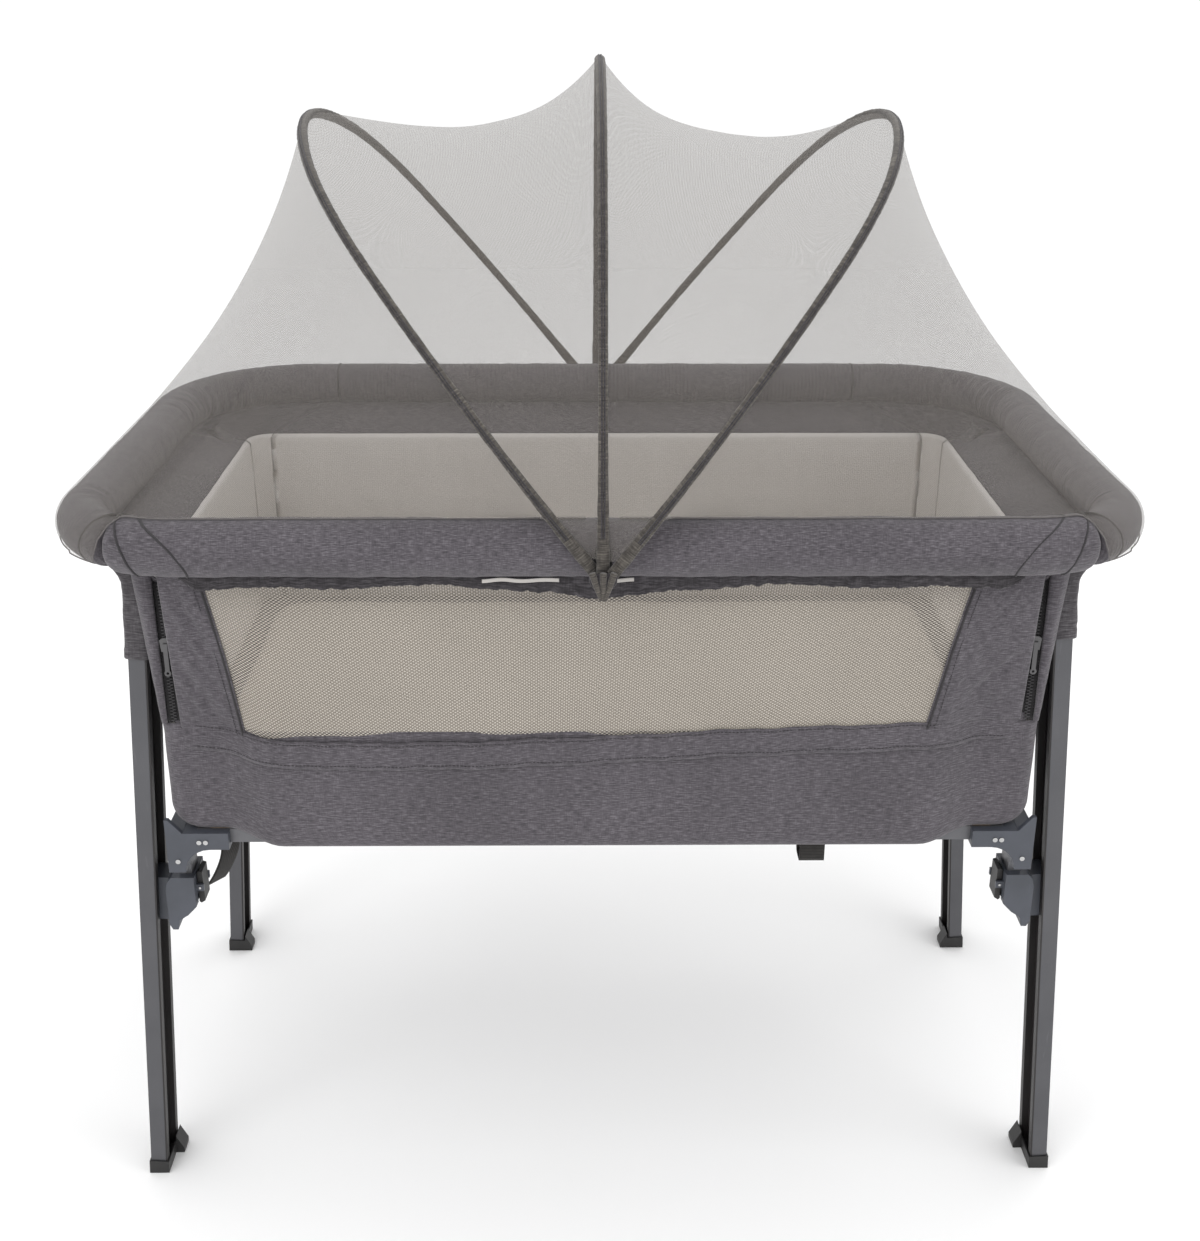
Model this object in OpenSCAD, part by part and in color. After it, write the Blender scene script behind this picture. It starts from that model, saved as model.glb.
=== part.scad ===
// Bassinet on a stand: a fabric cot on four splayed legs, with a drop side,
// a zipped mesh front and a fan of three hoops that carries a net canopy.
// Millimetres, +Z up. The origin is on the floor, under the middle of the cot.
// The cot's long side lies along X and its drop side faces -Y.

/* [Rim] */
// Length of the padded rim, outside
rim_length = 950; // [900:10:1000]
// Width of the padded rim, outside
rim_width = 602; // [580:2:640]
// Height of the rim tube's axis above the floor
rim_height = 700; // [680:5:720]
// Diameter of the padded cover on the rim
rim_pad_d = 46; // [42:1:50]
// Diameter of the padded cover on the drop side's bar
bar_pad_d = 48; // [44:1:50]
// Diameter of the steel rim tube
rim_tube_d = 20; // [18:1:22]
// Wall of the steel rim tube
rim_tube_wall = 1.2; // [1:0.1:2]
// Bend radius of the two rear corners, at the tube's axis
rear_bend_r = 137; // [110:1:160]
// Bend radius of the two front corners, at the tube's axis
front_bend_r = 97; // [90:1:110]
// Angle of each front bend that belongs to the drop side's bar
bar_end_angle = 31; // [25:1:35]

/* [Fabric tub] */
// Half length of the tub, outside
tub_half_x = 395; // [390:1:396]
// Half width of the tub, outside
tub_half_y = 240; // [232:1:241]
// Thickness of the fabric and its lining
fabric_t = 3; // [2:0.5:4]
// Height of the tub's lower edge
band_bottom = 410.5; // [410.5:0.5:411]
// Height of the lower band's upper edge
band_top = 520; // [500:5:530]
// Radius of the band's lower corners, seen from the front
band_corner_r = 26; // [20:1:28]
// Height where the side walls begin to flare out to the rim
flare_bottom = 652; // [645:1:658]

/* [Bed base] */
// Height of the base frame's lower face
frame_bottom = 396; // [390:1:398]
// Height of the rectangular base tube
frame_tube_h = 14; // [12:1:14]
// Width of the rectangular base tube
frame_tube_w = 20; // [18:1:22]
// Half length of the base frame, outside
frame_half_x = 372; // [365:1:375]
// Half width of the base frame, outside
frame_half_y = 236; // [230:1:237]
// Thickness of the board under the mattress
board_t = 6; // [4:1:6]
// Thickness of the mattress
mattress_t = 35; // [30:1:40]
// Number of slats between the long rails
slat_count = 3; // [1:2:3]
// Spacing of the slats
slat_pitch = 150; // [130:5:155]

/* [Legs] */
// Outward splay of each leg from the vertical, in degrees
splay = 3.9; // [3:0.1:4]
// Distance from the middle to a leg's outer face, at the floor
leg_foot_x = 460; // [458:1:462]
// Distance from the middle to a leg's middle, front to back
leg_y = 199; // [196:1:200]
// Thickness of the leg extrusion
leg_t = 15; // [14:1:15]
// Depth of the leg extrusion, front to back
leg_depth = 46; // [42:1:46]
// Length of the leg extrusion along its slope
leg_length = 648; // [640:1:650]
// Width of the channel in the leg's inner face
channel_w = 32; // [28:1:34]
// Depth of that channel
channel_depth = 7; // [6:0.5:8]
// Number of lock notches in each leg's track
notch_count = 6; // [3:1:8]
// Pitch of the lock notches
notch_pitch = 20; // [16:1:25]

/* [Canopy] */
// Height of the axis that the three hoops turn on
hub_height = 680; // [670:1:685]
// Half width of the innermost hoop
hoop_half_w = 308.2; // [308.2:0.1:310]
// Step out from one hoop to the next, at the hub
hoop_step = 4.4; // [4.4:0.1:5]
// Height of each outer hoop above its hub
side_hoop_h = 430; // [420:5:440]
// Height of the middle hoop above its hub
mid_hoop_h = 387; // [380:1:395]
// Lean of each outer hoop from the vertical, in degrees
hoop_lean = 38; // [34:1:40]
// Diameter of the spring wire in a hoop
wire_d = 3.6; // [3:0.1:4]
// Diameter of the fabric sleeve on a hoop
sleeve_d = 7.6; // [7:0.1:8.6]
// Sag of the net between two hoops
net_sag = 38; // [20:1:45]
// Sag of the net between an outer hoop and the rim
end_sag = 30; // [10:1:34]

/* [Hidden] */
$fn = 48;
eps = 0.01;

half_x = rim_length / 2 - rim_pad_d / 2;
half_y = rim_width / 2 - rim_pad_d / 2;
tube_bore_d = rim_tube_d - 2 * rim_tube_wall;
pad_bore_d = rim_tube_d + 0.4;
split_gap_angle = 1.4;

frame_top = frame_bottom + frame_tube_h;
board_bottom = frame_top + 0.5;
mattress_bottom = board_bottom + board_t + 0.5;
mattress_half_x = 376;
mattress_half_y = tub_half_y - fabric_t - 3;

track_t = 1.5;
leg_start = 6;
notch_first = 360;

stub_x = 386.5;
stub_w = 12;
stub_depth = 24;
stub_y = -205;
stub_bottom = 340;
stub_top = 408;
housing_x = 383.5;
housing_depth = 40;
lever_axis_x = 380;
lever_axis_z = 336;
lever_w = 20;
lever_pin_d = 2.5;
pin_play = 0.05;

zip_x = 381;
zip_bottom = 516;
zip_top = 654;
zip_w = 14;
slider_z = 596;

hub_pin_d = 5;
hub_plate_y = hoop_half_w - 5.5;
hub_pin_end = hoop_half_w + 2 * hoop_step + 2.5;
hub_head_t = 2;
eye_d = 12;
eye_t = 4;
side_turn = 25;
shoulder_turn = 40;
shoulder_r = 190;
arc_gap = 0.01;
sleeve_start = 4.2;

fabric_grey = [0.36, 0.35, 0.36];
steel_grey = [0.44, 0.44, 0.46];
plastic_black = [0.10, 0.10, 0.10];
plastic_slate = [0.27, 0.28, 0.33];
net_white = [0.85, 0.84, 0.80, 0.4];

corner_names = ["front_left", "front_right", "rear_left", "rear_right"];

// ---- placing helpers ----

// Parts are drawn at the front right corner and mirrored to the others.
module at_corner(name) {
    left = name == "front_left" || name == "rear_left";
    rear = name == "rear_left" || name == "rear_right";
    mirror([left ? 1 : 0, 0, 0]) mirror([0, rear ? 1 : 0, 0]) children();
}

module at_all_corners() {
    for (name = corner_names) at_corner(name) children();
}

module mirror_pair_x() {
    children();
    mirror([1, 0, 0]) children();
}

// The leg's own frame: z runs up along the leg, x = 0 is its outer face.
module in_leg_frame() {
    translate([leg_foot_x, -leg_y, 0]) rotate([0, -splay, 0]) children();
}

// A box between two corners.
module box(low, high) {
    translate(low) cube(high - low);
}

// An outline drawn in X and Z, pushed through Y from y0 to y1.
module extrude_along_y(y0, y1) {
    translate([0, y1, 0]) rotate([90, 0, 0]) linear_extrude(y1 - y0) children();
}

// ---- rim ----

// The round section of a tube.
module section(d, bore) {
    difference() {
        circle(d = d);
        if (bore > 0) circle(d = bore);
    }
}

// An arc of tube, a hair short at both ends so that it stays a solid of its own.
module arc_tube(r, from, to, d, bore) {
    trim = arc_gap / r * 180 / PI;
    rotate([0, 0, from + trim]) rotate_extrude(angle = to - from - 2 * trim)
        translate([r, 0]) section(d, bore);
}

// A round tube bent in the XY plane about the point (cx, cy).
module bend(cx, cy, r, from, to, d, bore) {
    translate([cx, cy, rim_height]) arc_tube(r, from, to, d, bore);
}

module bar_along_x(x0, x1, y, d, bore) {
    translate([x0, y, rim_height]) rotate([90, 0, 90]) linear_extrude(x1 - x0)
        section(d, bore);
}

module bar_along_y(x, y0, y1, d, bore) {
    translate([x, y1, rim_height]) rotate([90, 0, 0]) linear_extrude(y1 - y0)
        section(d, bore);
}

// The fixed part of the rim: back, both ends and most of the front bends.
module fixed_rim(d, bore) {
    bar_along_x(-(half_x - rear_bend_r), half_x - rear_bend_r, half_y, d, bore);
    mirror_pair_x() {
        bend(half_x - rear_bend_r, half_y - rear_bend_r, rear_bend_r, 0, 90, d, bore);
        bar_along_y(half_x, -(half_y - front_bend_r), half_y - rear_bend_r, d, bore);
        bend(half_x - front_bend_r, -(half_y - front_bend_r), front_bend_r,
             -90 + bar_end_angle + split_gap_angle, 0, d, bore);
    }
}

// The drop side's bar, with the outer ends of the front bends.
module drop_bar(d, bore) {
    bar_along_x(-(half_x - front_bend_r), half_x - front_bend_r, -half_y, d, bore);
    mirror_pair_x()
        bend(half_x - front_bend_r, -(half_y - front_bend_r), front_bend_r,
             -90, -90 + bar_end_angle, d, bore);
}

module rim_tube() color(steel_grey) fixed_rim(rim_tube_d, tube_bore_d);

module rim_cover() color(fabric_grey) fixed_rim(rim_pad_d, pad_bore_d);

module front_tube() color(steel_grey) drop_bar(rim_tube_d, tube_bore_d);

module front_bar_cover() color(fabric_grey) drop_bar(bar_pad_d, pad_bore_d);

// Plugs in the open ends of the fixed rim, where the bar's ends meet it.
module corner_connectors() color(plastic_black) mirror_pair_x() {
    plug_d = tube_bore_d - 0.2;
    end_angle = -90 + bar_end_angle + split_gap_angle;
    translate([half_x - front_bend_r, -(half_y - front_bend_r), rim_height])
        rotate([0, 0, end_angle]) translate([front_bend_r, 0, 0]) rotate([-90, 0, 0]) {
            translate([0, 0, -0.9]) cylinder(d = 17, h = 0.9);
            cylinder(d = plug_d - 2, h = 12);
        }
}

// ---- fabric tub ----

// End wall: upright beside the legs, flaring out to the rim above them.
module end_panel() color(fabric_grey) {
    outer = [[tub_half_x, band_top + 0.5], [tub_half_x, flare_bottom],
             [tub_half_x + 36, flare_bottom + 24]];
    inner = [for (i = [2:-1:0]) outer[i] + [-fabric_t, i == 2 ? 0.5 : 0]];
    extrude_along_y(-tub_half_y + 6, tub_half_y - fabric_t - 0.5)
        polygon(concat(outer, inner));
    // The strip that turns the corner behind the zip
    box([zip_x - zip_w / 2 - 2, -tub_half_y + 3, zip_bottom + 5],
        [tub_half_x, -tub_half_y + 7, zip_top - 8]);
}

module end_panel_left() mirror([1, 0, 0]) end_panel();

module end_panel_right() end_panel();

module back_panel() color(fabric_grey) {
    outer = [[tub_half_y, band_top + 0.5], [tub_half_y, flare_bottom],
             [tub_half_y + 18, flare_bottom + 24]];
    inner = [for (i = [2:-1:0]) outer[i] - [fabric_t, 0]];
    half = tub_half_x - fabric_t - 10;
    translate([-half, 0, 0]) rotate([90, 0, 90]) linear_extrude(2 * half)
        polygon(concat(outer, inner));
}

// Front outline of the band, with rounded lower corners.
module band_outline(inset) {
    half = tub_half_x - inset;
    r = band_corner_r - inset;
    hull() {
        translate([-half, band_top - 1]) square([2 * half, 1]);
        for (side = [-1, 1])
            translate([side * (half - r), band_bottom + inset + r]) circle(r = r, $fn = 32);
    }
}

module lower_band() color(fabric_grey) difference() {
    extrude_along_y(-tub_half_y, tub_half_y) band_outline(0);
    extrude_along_y(-tub_half_y + fabric_t, tub_half_y - fabric_t) band_outline(fabric_t);
    box([-mattress_half_x, -tub_half_y + fabric_t, band_bottom - 5],
        [mattress_half_x, tub_half_y - fabric_t, band_bottom + 8]);
    box([-tub_half_x + fabric_t, -tub_half_y + fabric_t, band_top - 5],
        [tub_half_x - fabric_t, tub_half_y - fabric_t, band_top + 5]);
}

// Mesh front with its fabric gussets, from the band up to the drop side's bar.
module front_panel() color(net_white) {
    lower = [-tub_half_y + 0.3, band_top + 0.5];
    upper = [-half_y + 12, rim_height - bar_pad_d / 2 + 1];
    half = zip_x - zip_w / 2 - 2.5;
    translate([-half, 0, 0]) rotate([90, 0, 90]) linear_extrude(2 * half)
        polygon([lower, upper, upper + [1.6, 0], lower + [1.6, 0]]);
}

module zip_tape() color(plastic_black)
    box([zip_x - zip_w / 2, -tub_half_y + 1.4, zip_bottom + 5],
        [zip_x + zip_w / 2, -tub_half_y + 2.8, zip_top]);

module zip_tape_left() mirror([1, 0, 0]) zip_tape();

module zip_tape_right() zip_tape();

// Slider body on the zip, with its pull tab hanging below it.
module zip_slider() color(plastic_black) {
    front = -tub_half_y + 1;
    translate([zip_x, front, slider_z]) rotate([90, 0, 0]) {
        linear_extrude(2.4) polygon([[-4, -6], [4, -6], [5, 5], [2, 7], [-2, 7], [-5, 5]]);
        translate([0, 0, 2.4]) linear_extrude(1.6) difference() {
            union() {
                translate([-2, -26]) square([4, 28]);
                translate([0, -26]) circle(d = 6);
            }
            translate([0, -26]) circle(d = 2.4);
        }
    }
}

module zip_slider_left() mirror([1, 0, 0]) zip_slider();

module zip_slider_right() zip_slider();

// ---- bed base ----

module frame_ring(grow) {
    difference() {
        box([-frame_half_x - grow, -frame_half_y - grow, frame_bottom - grow],
            [frame_half_x + grow, frame_half_y + grow, frame_top + grow]);
        box([-frame_half_x + frame_tube_w + grow, -frame_half_y + frame_tube_w + grow,
             frame_bottom - 5],
            [frame_half_x - frame_tube_w - grow, frame_half_y - frame_tube_w - grow,
             frame_top + 5]);
    }
}

module base_frame() color(steel_grey) difference() {
    frame_ring(0);
    frame_ring(-1.5);
}

module support_slats() color(steel_grey) {
    slat_w = 30;
    inner_y = frame_half_y - frame_tube_w;
    for (i = [1:slat_count]) {
        x = (i - (slat_count + 1) / 2) * slat_pitch;
        box([x - slat_w / 2, -inner_y, frame_top - 8], [x + slat_w / 2, inner_y, frame_top - 2]);
    }
}

module mattress_board() color("tan")
    box([-frame_half_x + 12, -tub_half_y + fabric_t + 2, board_bottom],
        [frame_half_x - 12, tub_half_y - fabric_t - 2, board_bottom + board_t]);

module mattress() color("wheat") {
    r = 30;
    translate([0, 0, mattress_bottom]) linear_extrude(mattress_t) hull()
        for (x = [-1, 1], y = [-1, 1])
            translate([x * (mattress_half_x - r), y * (mattress_half_y - r)])
                circle(r = r, $fn = 32);
}

// ---- corner hardware ----

// Bracket under each corner: it holds the base frame and the stub tube.
module gusset() color(plastic_slate) difference() {
    sweep_r = 24;
    sweep_x = 360;
    foot_z = 369;
    sweep = [for (a = [90:-15:0]) [sweep_x + sweep_r * cos(a), foot_z + sweep_r * sin(a)]];
    extrude_along_y(-245, -188) polygon(concat(
        [[342, frame_top], [342, foot_z + sweep_r]], sweep,
        [[399.5, foot_z], [399.5, 424], [396, 424], [384, frame_top]]));
    box([0, -frame_half_y - 0.2, frame_bottom - 0.2],
        [frame_half_x + 0.2, -frame_half_y + frame_tube_w + 0.2, frame_top + 1]);
    box([frame_half_x - frame_tube_w - 0.2, -frame_half_y - 0.2, frame_bottom - 0.2],
        [frame_half_x + 0.2, 0, frame_top + 1]);
    box([stub_x - 0.1, stub_y - stub_depth / 2 - 0.1, foot_z - 1],
        [stub_x + stub_w + 0.1, stub_y + stub_depth / 2 + 0.1, stub_top + 0.1]);
    box([0, -tub_half_y - 0.3, band_bottom - 0.3], [420, 0, 430]);
}

module stub_tubes() color(steel_grey) at_all_corners() difference() {
    box([stub_x, stub_y - stub_depth / 2, stub_bottom],
        [stub_x + stub_w, stub_y + stub_depth / 2, stub_top]);
    box([stub_x + 1.5, stub_y - stub_depth / 2 + 1.5, stub_bottom - 1],
        [stub_x + stub_w - 1.5, stub_y + stub_depth / 2 - 1.5, stub_top + 1]);
}

// Height housing: it takes the stub tube and runs in the leg's track.
module housing() color(plastic_slate) {
    outer_x = 411;
    y0 = stub_y - housing_depth / 2;
    y1 = stub_y + housing_depth / 2;
    difference() {
        extrude_along_y(y0, y1) polygon([
            [housing_x, 351], [outer_x - 6, 351], [outer_x - 2, 346], [outer_x, 338],
            [outer_x, 300], [408, 294], [403, 294], [401, 304], [392, 310], [housing_x, 319]]);
        box([stub_x - 0.1, stub_y - stub_depth / 2 - 0.1, stub_bottom - 0.1],
            [stub_x + stub_w + 0.1, stub_y + stub_depth / 2 + 0.1, 360]);
        // Room for the lever's lower end as it is pressed in
        box([housing_x - 1, stub_y - lever_w / 2 - 0.5, 317],
            [housing_x + 4.5, stub_y + lever_w / 2 + 0.5, lever_axis_z - 2]);
    }
    // Ears that carry the lever's pin
    for (side = [-1, 1]) difference() {
        ear_y = stub_y + side * (lever_w / 2 + 2);
        box([lever_axis_x - 3.5, ear_y - 1.5, lever_axis_z - 3.5],
            [housing_x, ear_y + 1.5, lever_axis_z + 3.5]);
        translate([lever_axis_x, ear_y - 2, lever_axis_z]) rotate([-90, 0, 0])
            cylinder(d = lever_pin_d + 2 * pin_play, h = 4);
    }
    // Tongue that slides in the track
    in_leg_frame() box([-track_t - leg_t - 14, -channel_w / 2 + 2.4, 300],
                       [-leg_t + channel_depth - track_t - 1, channel_w / 2 - 2.4, 346]);
}

module lever_pins() color("silver") at_all_corners()
    translate([lever_axis_x, stub_y - lever_w / 2 - 4.2, lever_axis_z]) rotate([-90, 0, 0])
        cylinder(d = lever_pin_d, h = lever_w + 8.4);

// Release lever on the housing's inner side.
module lever() color(plastic_black) difference() {
    extrude_along_y(stub_y - lever_w / 2, stub_y + lever_w / 2) polygon([
        [377.8, 351], [381, 352], [382.8, 350], [382.8, 319], [381, 317.5],
        [377.2, 320], [377.4, 336]]);
    translate([lever_axis_x, stub_y - lever_w, lever_axis_z]) rotate([-90, 0, 0])
        cylinder(d = lever_pin_d + 2 * pin_play, h = 2 * lever_w);
}

module gusset_screws() color("silver") at_all_corners()
    for (p = [[363, 401], [369, 401], [390, 381]])
        translate([p[0], -245, p[1]]) rotate([90, 0, 0]) {
            cylinder(d = 4.6, h = 1.2);
            translate([0, 0, -6]) cylinder(d = 2.6, h = 6);
        }

// ---- legs ----

module leg() color(steel_grey) in_leg_frame() translate([0, 0, leg_start])
    linear_extrude(leg_length) difference() {
        translate([-leg_t, -leg_depth / 2]) square([leg_t, leg_depth]);
        translate([-leg_t - 1, -channel_w / 2]) square([channel_depth + 1, channel_w]);
        translate([-leg_t + channel_depth + 1.5, -leg_depth / 2 + 1.5])
            square([leg_t - channel_depth - 3, leg_depth - 3]);
    }

// Black liner on the leg's inner face, notched for the lock.
module track() color(plastic_black) in_leg_frame() difference() {
    translate([0, 0, leg_start]) linear_extrude(leg_length - 2) difference() {
        union() {
            translate([-leg_t - track_t, -leg_depth / 2]) square([track_t - eps, leg_depth]);
            translate([-leg_t - track_t, -channel_w / 2 + 0.1])
                square([channel_depth + track_t - 0.1, channel_w - 0.2]);
        }
        translate([-leg_t - track_t - 1, -channel_w / 2 + track_t])
            square([channel_depth + 1 - 0.1, channel_w - 2 * track_t]);
    }
    for (i = [0:notch_count - 1])
        translate([-leg_t - track_t - 1, -5, notch_first + i * notch_pitch])
            cube([leg_t, 10, 6]);
}

// Cap on the leg's lower end, cut flat where it stands on the floor.
module foot() color(plastic_black) difference() {
    in_leg_frame() difference() {
        union() {
            box([-leg_t - track_t - 1.8, -leg_depth / 2 - 1.5, -5],
                [1.5, leg_depth / 2 + 1.5, 15]);
            extrude_along_y(6, leg_depth / 2 + 1.5) polygon([
                [-leg_t - track_t - 1.8, -3], [-leg_t - 12, -3], [-leg_t - 12, 7],
                [-leg_t - track_t - 1.8, 22]]);
        }
        box([-leg_t - track_t - 0.2, -leg_depth / 2 - 0.2, leg_start - 0.1],
            [0.2, leg_depth / 2 + 0.2, 30]);
    }
    box([leg_foot_x - 60, -leg_y - 60, -20], [leg_foot_x + 60, -leg_y + 60, 0]);
}

// Fabric sleeves of the tub that the leg tops slide in.
module leg_sleeves() color(fabric_grey) at_all_corners() in_leg_frame()
    translate([0, 0, 592]) linear_extrude(57) difference() {
        translate([-leg_t - track_t - 2.2, -leg_depth / 2 - 2.6])
            square([leg_t + track_t + 4.8, leg_depth + 5.2]);
        translate([-leg_t - track_t - 1, -leg_depth / 2 - 1.2])
            square([leg_t + track_t + 2.2, leg_depth + 2.4]);
    }

// ---- straps ----

// Loose webbing end that hangs from the base frame in a curve.
module hanging_strap() color(plastic_black) {
    r = 62;
    t = 1.8;
    outer = [for (a = [38:-8:-42]) [r * cos(a), r * sin(a)]];
    inner = [for (a = [-42:8:38]) [(r - t) * cos(a), (r - t) * sin(a)]];
    translate([-421, 0, 357.5]) extrude_along_y(-184, -162) polygon(concat(outer, inner));
}

// Webbing loop round the front rail.
module strap_loop() color(plastic_black) difference() {
    box([184, -frame_half_y - 2.2, frame_bottom - 15],
        [208, -frame_half_y + frame_tube_w + 2.2, frame_top]);
    box([180, -frame_half_y - 0.4, frame_bottom - 13],
        [212, -frame_half_y + frame_tube_w + 0.4, frame_top + 1]);
}

// ---- canopy ----

// A hoop is a wire bent in five arcs, drawn in its own plane with u across
// the cot and v up from the hub axis. These solve the side and top radii.
function side_r(half_w, h) =
    let (s1 = sin(side_turn), s2 = sin(side_turn + shoulder_turn),
         c1 = cos(side_turn), c2 = cos(side_turn + shoulder_turn),
         w = half_w - shoulder_r * (c1 - c2), v = h - shoulder_r * (s2 - s1))
    (v * c2 - w * (1 - s2)) / (s1 * c2 - (1 - c1) * (1 - s2));
function top_r(half_w, h) =
    let (c1 = cos(side_turn), c2 = cos(side_turn + shoulder_turn))
    (half_w - shoulder_r * (c1 - c2) - side_r(half_w, h) * (1 - c1)) / c2;

// Point of the hoop where it has turned by an angle from 0 to 180 degrees.
function hoop_point(half_w, h, turn) =
    turn > 90
    ? let (p = hoop_point(half_w, h, 180 - turn)) [-p[0], p[1]]
    : let (r1 = side_r(half_w, h), r3 = top_r(half_w, h),
           a1 = side_turn, a2 = side_turn + shoulder_turn,
           p1 = [r1 - half_w, 0] - r1 * [cos(min(turn, a1)), -sin(min(turn, a1))],
           p2 = shoulder_r * [cos(a1) - cos(max(a1, min(turn, a2))),
                              sin(max(a1, min(turn, a2))) - sin(a1)],
           p3 = r3 * [cos(a2) - cos(max(a2, turn)), sin(max(a2, turn)) - sin(a2)])
      p1 + p2 + p3;

// Stands a drawing made in a hoop's plane up at its lean.
module in_hoop_plane(lean) {
    translate([0, 0, hub_height]) rotate([0, lean, 0]) rotate([90, 0, 90]) children();
}

module hoop_bar(half_w, h, start, d, bore) {
    r1 = side_r(half_w, h);
    r3 = top_r(half_w, h);
    turn1 = 180 - side_turn;
    turn2 = turn1 - shoulder_turn;
    centre1 = [r1 - half_w, 0];
    centre2 = centre1 + (r1 - shoulder_r) * [cos(turn1), sin(turn1)];
    centre3 = centre2 + (shoulder_r - r3) * [cos(turn2), sin(turn2)];
    mirror_pair_x() {
        translate(centre1) arc_tube(r1, turn1, 180 - start, d, bore);
        translate(centre2) arc_tube(shoulder_r, turn2, turn1, d, bore);
    }
    translate([0, centre3[1]]) arc_tube(r3, 180 - turn2, turn2, d, bore);
}

// Spring wire with an eye at each end that turns on the hub pins.
module hoop_wire(half_w, h) color(steel_grey) {
    hoop_bar(half_w, h, asin(eye_d / 2 / side_r(half_w, h)), wire_d, 0);
    mirror_pair_x() translate([-half_w, 0, 0]) rotate([0, 90, 0]) difference() {
        cylinder(d = eye_d, h = eye_t, center = true);
        cylinder(d = hub_pin_d + 2 * pin_play, h = 2 * eye_t, center = true);
    }
}

module hoop_sleeve(half_w, h) color(fabric_grey)
    hoop_bar(half_w, h, sleeve_start, sleeve_d, wire_d + 0.4);

left_half_w = hoop_half_w;
mid_half_w = hoop_half_w + hoop_step;
right_half_w = hoop_half_w + 2 * hoop_step;

module hoop_left_wire() in_hoop_plane(-hoop_lean) hoop_wire(left_half_w, side_hoop_h);

module hoop_middle_wire() in_hoop_plane(0) hoop_wire(mid_half_w, mid_hoop_h);

module hoop_right_wire() in_hoop_plane(hoop_lean) hoop_wire(right_half_w, side_hoop_h);

module hoop_left_sleeve() in_hoop_plane(-hoop_lean) hoop_sleeve(left_half_w, side_hoop_h);

module hoop_middle_sleeve() in_hoop_plane(0) hoop_sleeve(mid_half_w, mid_hoop_h);

module hoop_right_sleeve() in_hoop_plane(hoop_lean) hoop_sleeve(right_half_w, side_hoop_h);

// Back plate, pin and head that carry the hoops' eyes at one side.
module hub() color(plastic_black) rotate([90, 0, 0]) {
    translate([0, 0, hub_plate_y]) linear_extrude(3) hull() {
        translate([0, hub_height]) circle(d = 18, $fn = 32);
        translate([0, rim_height + 4]) circle(d = 14, $fn = 32);
    }
    translate([0, hub_height, hub_plate_y + 3 - eps])
        cylinder(d = hub_pin_d, h = hub_pin_end - hub_plate_y - 3 + 2 * eps);
    translate([0, hub_height, hub_pin_end]) cylinder(d = 10, h = hub_head_t);
}

module hub_front() hub();

module hub_rear() mirror([0, 1, 0]) hub();

// ---- net ----

net_turns = [for (i = [0:16]) 5 + i * (180 - 10) / 16];
net_clear = sleeve_d / 2 + 1.6;
net_t = 0.8;

// Point of a leaning hoop's plane, and the direction out of its curve there.
function at_lean(p, lean) = [p[1] * sin(lean), p[0], hub_height + p[1] * cos(lean)];
function out_of_hoop(turn, lean) =
    [sin(turn) * sin(lean), -cos(turn), sin(turn) * cos(lean)];

// Rows of points between two hoops, drawn in by the sag at mid span.
function net_between(w0, h0, lean0, w1, h1, lean1, grow) = [
    for (turn = net_turns) [
        for (j = [0:6])
            let (t = j / 6,
                 p = hoop_point(w0, h0, turn) * (1 - t) + hoop_point(w1, h1, turn) * t,
                 gap = asin(net_clear / p[1]),
                 lean = (lean0 + gap) * (1 - t) + (lean1 - gap) * t,
                 drawn_in = 1 - 4 * t * (1 - t) * net_sag / side_hoop_h)
            at_lean([p[0], p[1] * drawn_in], lean) + grow * out_of_hoop(turn, lean)
    ]
];

// The net's hem goes round one end of the rim, on the outer shoulder of its cover.
hem_r = bar_pad_d / 2 + 2.5;
hem_angle = 50;
hem_out = hem_r * cos(hem_angle);
hem_z = rim_height + hem_r * sin(hem_angle);
function arc_points(c, r, from, to, n) =
    [for (i = [0:n]) let (a = from + (to - from) * i / n) c + r * [cos(a), sin(a)]];
hem_path = concat(
    [for (x = [60, 160, 260]) [x, -half_y - hem_out]],
    arc_points([half_x - front_bend_r, -half_y + front_bend_r],
               front_bend_r + hem_out, -90, 0, 4),
    [[half_x + hem_out, 0]],
    arc_points([half_x - rear_bend_r, half_y - rear_bend_r],
               rear_bend_r + hem_out, 0, 90, 4),
    [for (x = [260, 160, 60]) [x, half_y + hem_out]]);

function net_end(w, h, lean0, grow) = [
    for (i = [0:16]) [
        for (j = [0:6])
            let (t = j / 6,
                 q = hoop_point(w, h, net_turns[i]),
                 a = at_lean(q, lean0 + asin(net_clear / q[1])),
                 b = [hem_path[i][0], hem_path[i][1], hem_z],
                 dip = 4 * t * (1 - t) * min(end_sag, norm(b - a) / 10))
            a * (1 - t) + b * t - dip * [0.6, 0, 0.8]
                + grow * out_of_hoop(net_turns[i], lean0)
    ]
];

// A closed thin shell from an outer and an inner grid of points.
module shell(outer, inner) {
    rows = len(outer);
    cols = len(outer[0]);
    count = rows * cols;
    flat_points = concat([for (r = outer) each r], [for (r = inner) each r]);
    skin = [for (i = [0:rows - 2], j = [0:cols - 2])
        let (a = i * cols + j, b = a + 1, c = a + cols, d = c + 1)
        each [[a, b, d], [a, d, c],
              [count + a, count + d, count + b], [count + a, count + c, count + d]]];
    ends = [for (j = [0:cols - 2], i = [0, rows - 1])
        let (a = i * cols + j, b = a + 1)
        each (i == 0 ? [[a, count + a, count + b], [a, count + b, b]]
                     : [[a, b, count + b], [a, count + b, count + a]])];
    sides = [for (i = [0:rows - 2], j = [0, cols - 1])
        let (a = i * cols + j, c = a + cols)
        each (j == 0 ? [[a, c, count + c], [a, count + c, count + a]]
                     : [[a, count + a, count + c], [a, count + c, c]])];
    polyhedron(flat_points, concat(skin, ends, sides));
}

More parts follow.
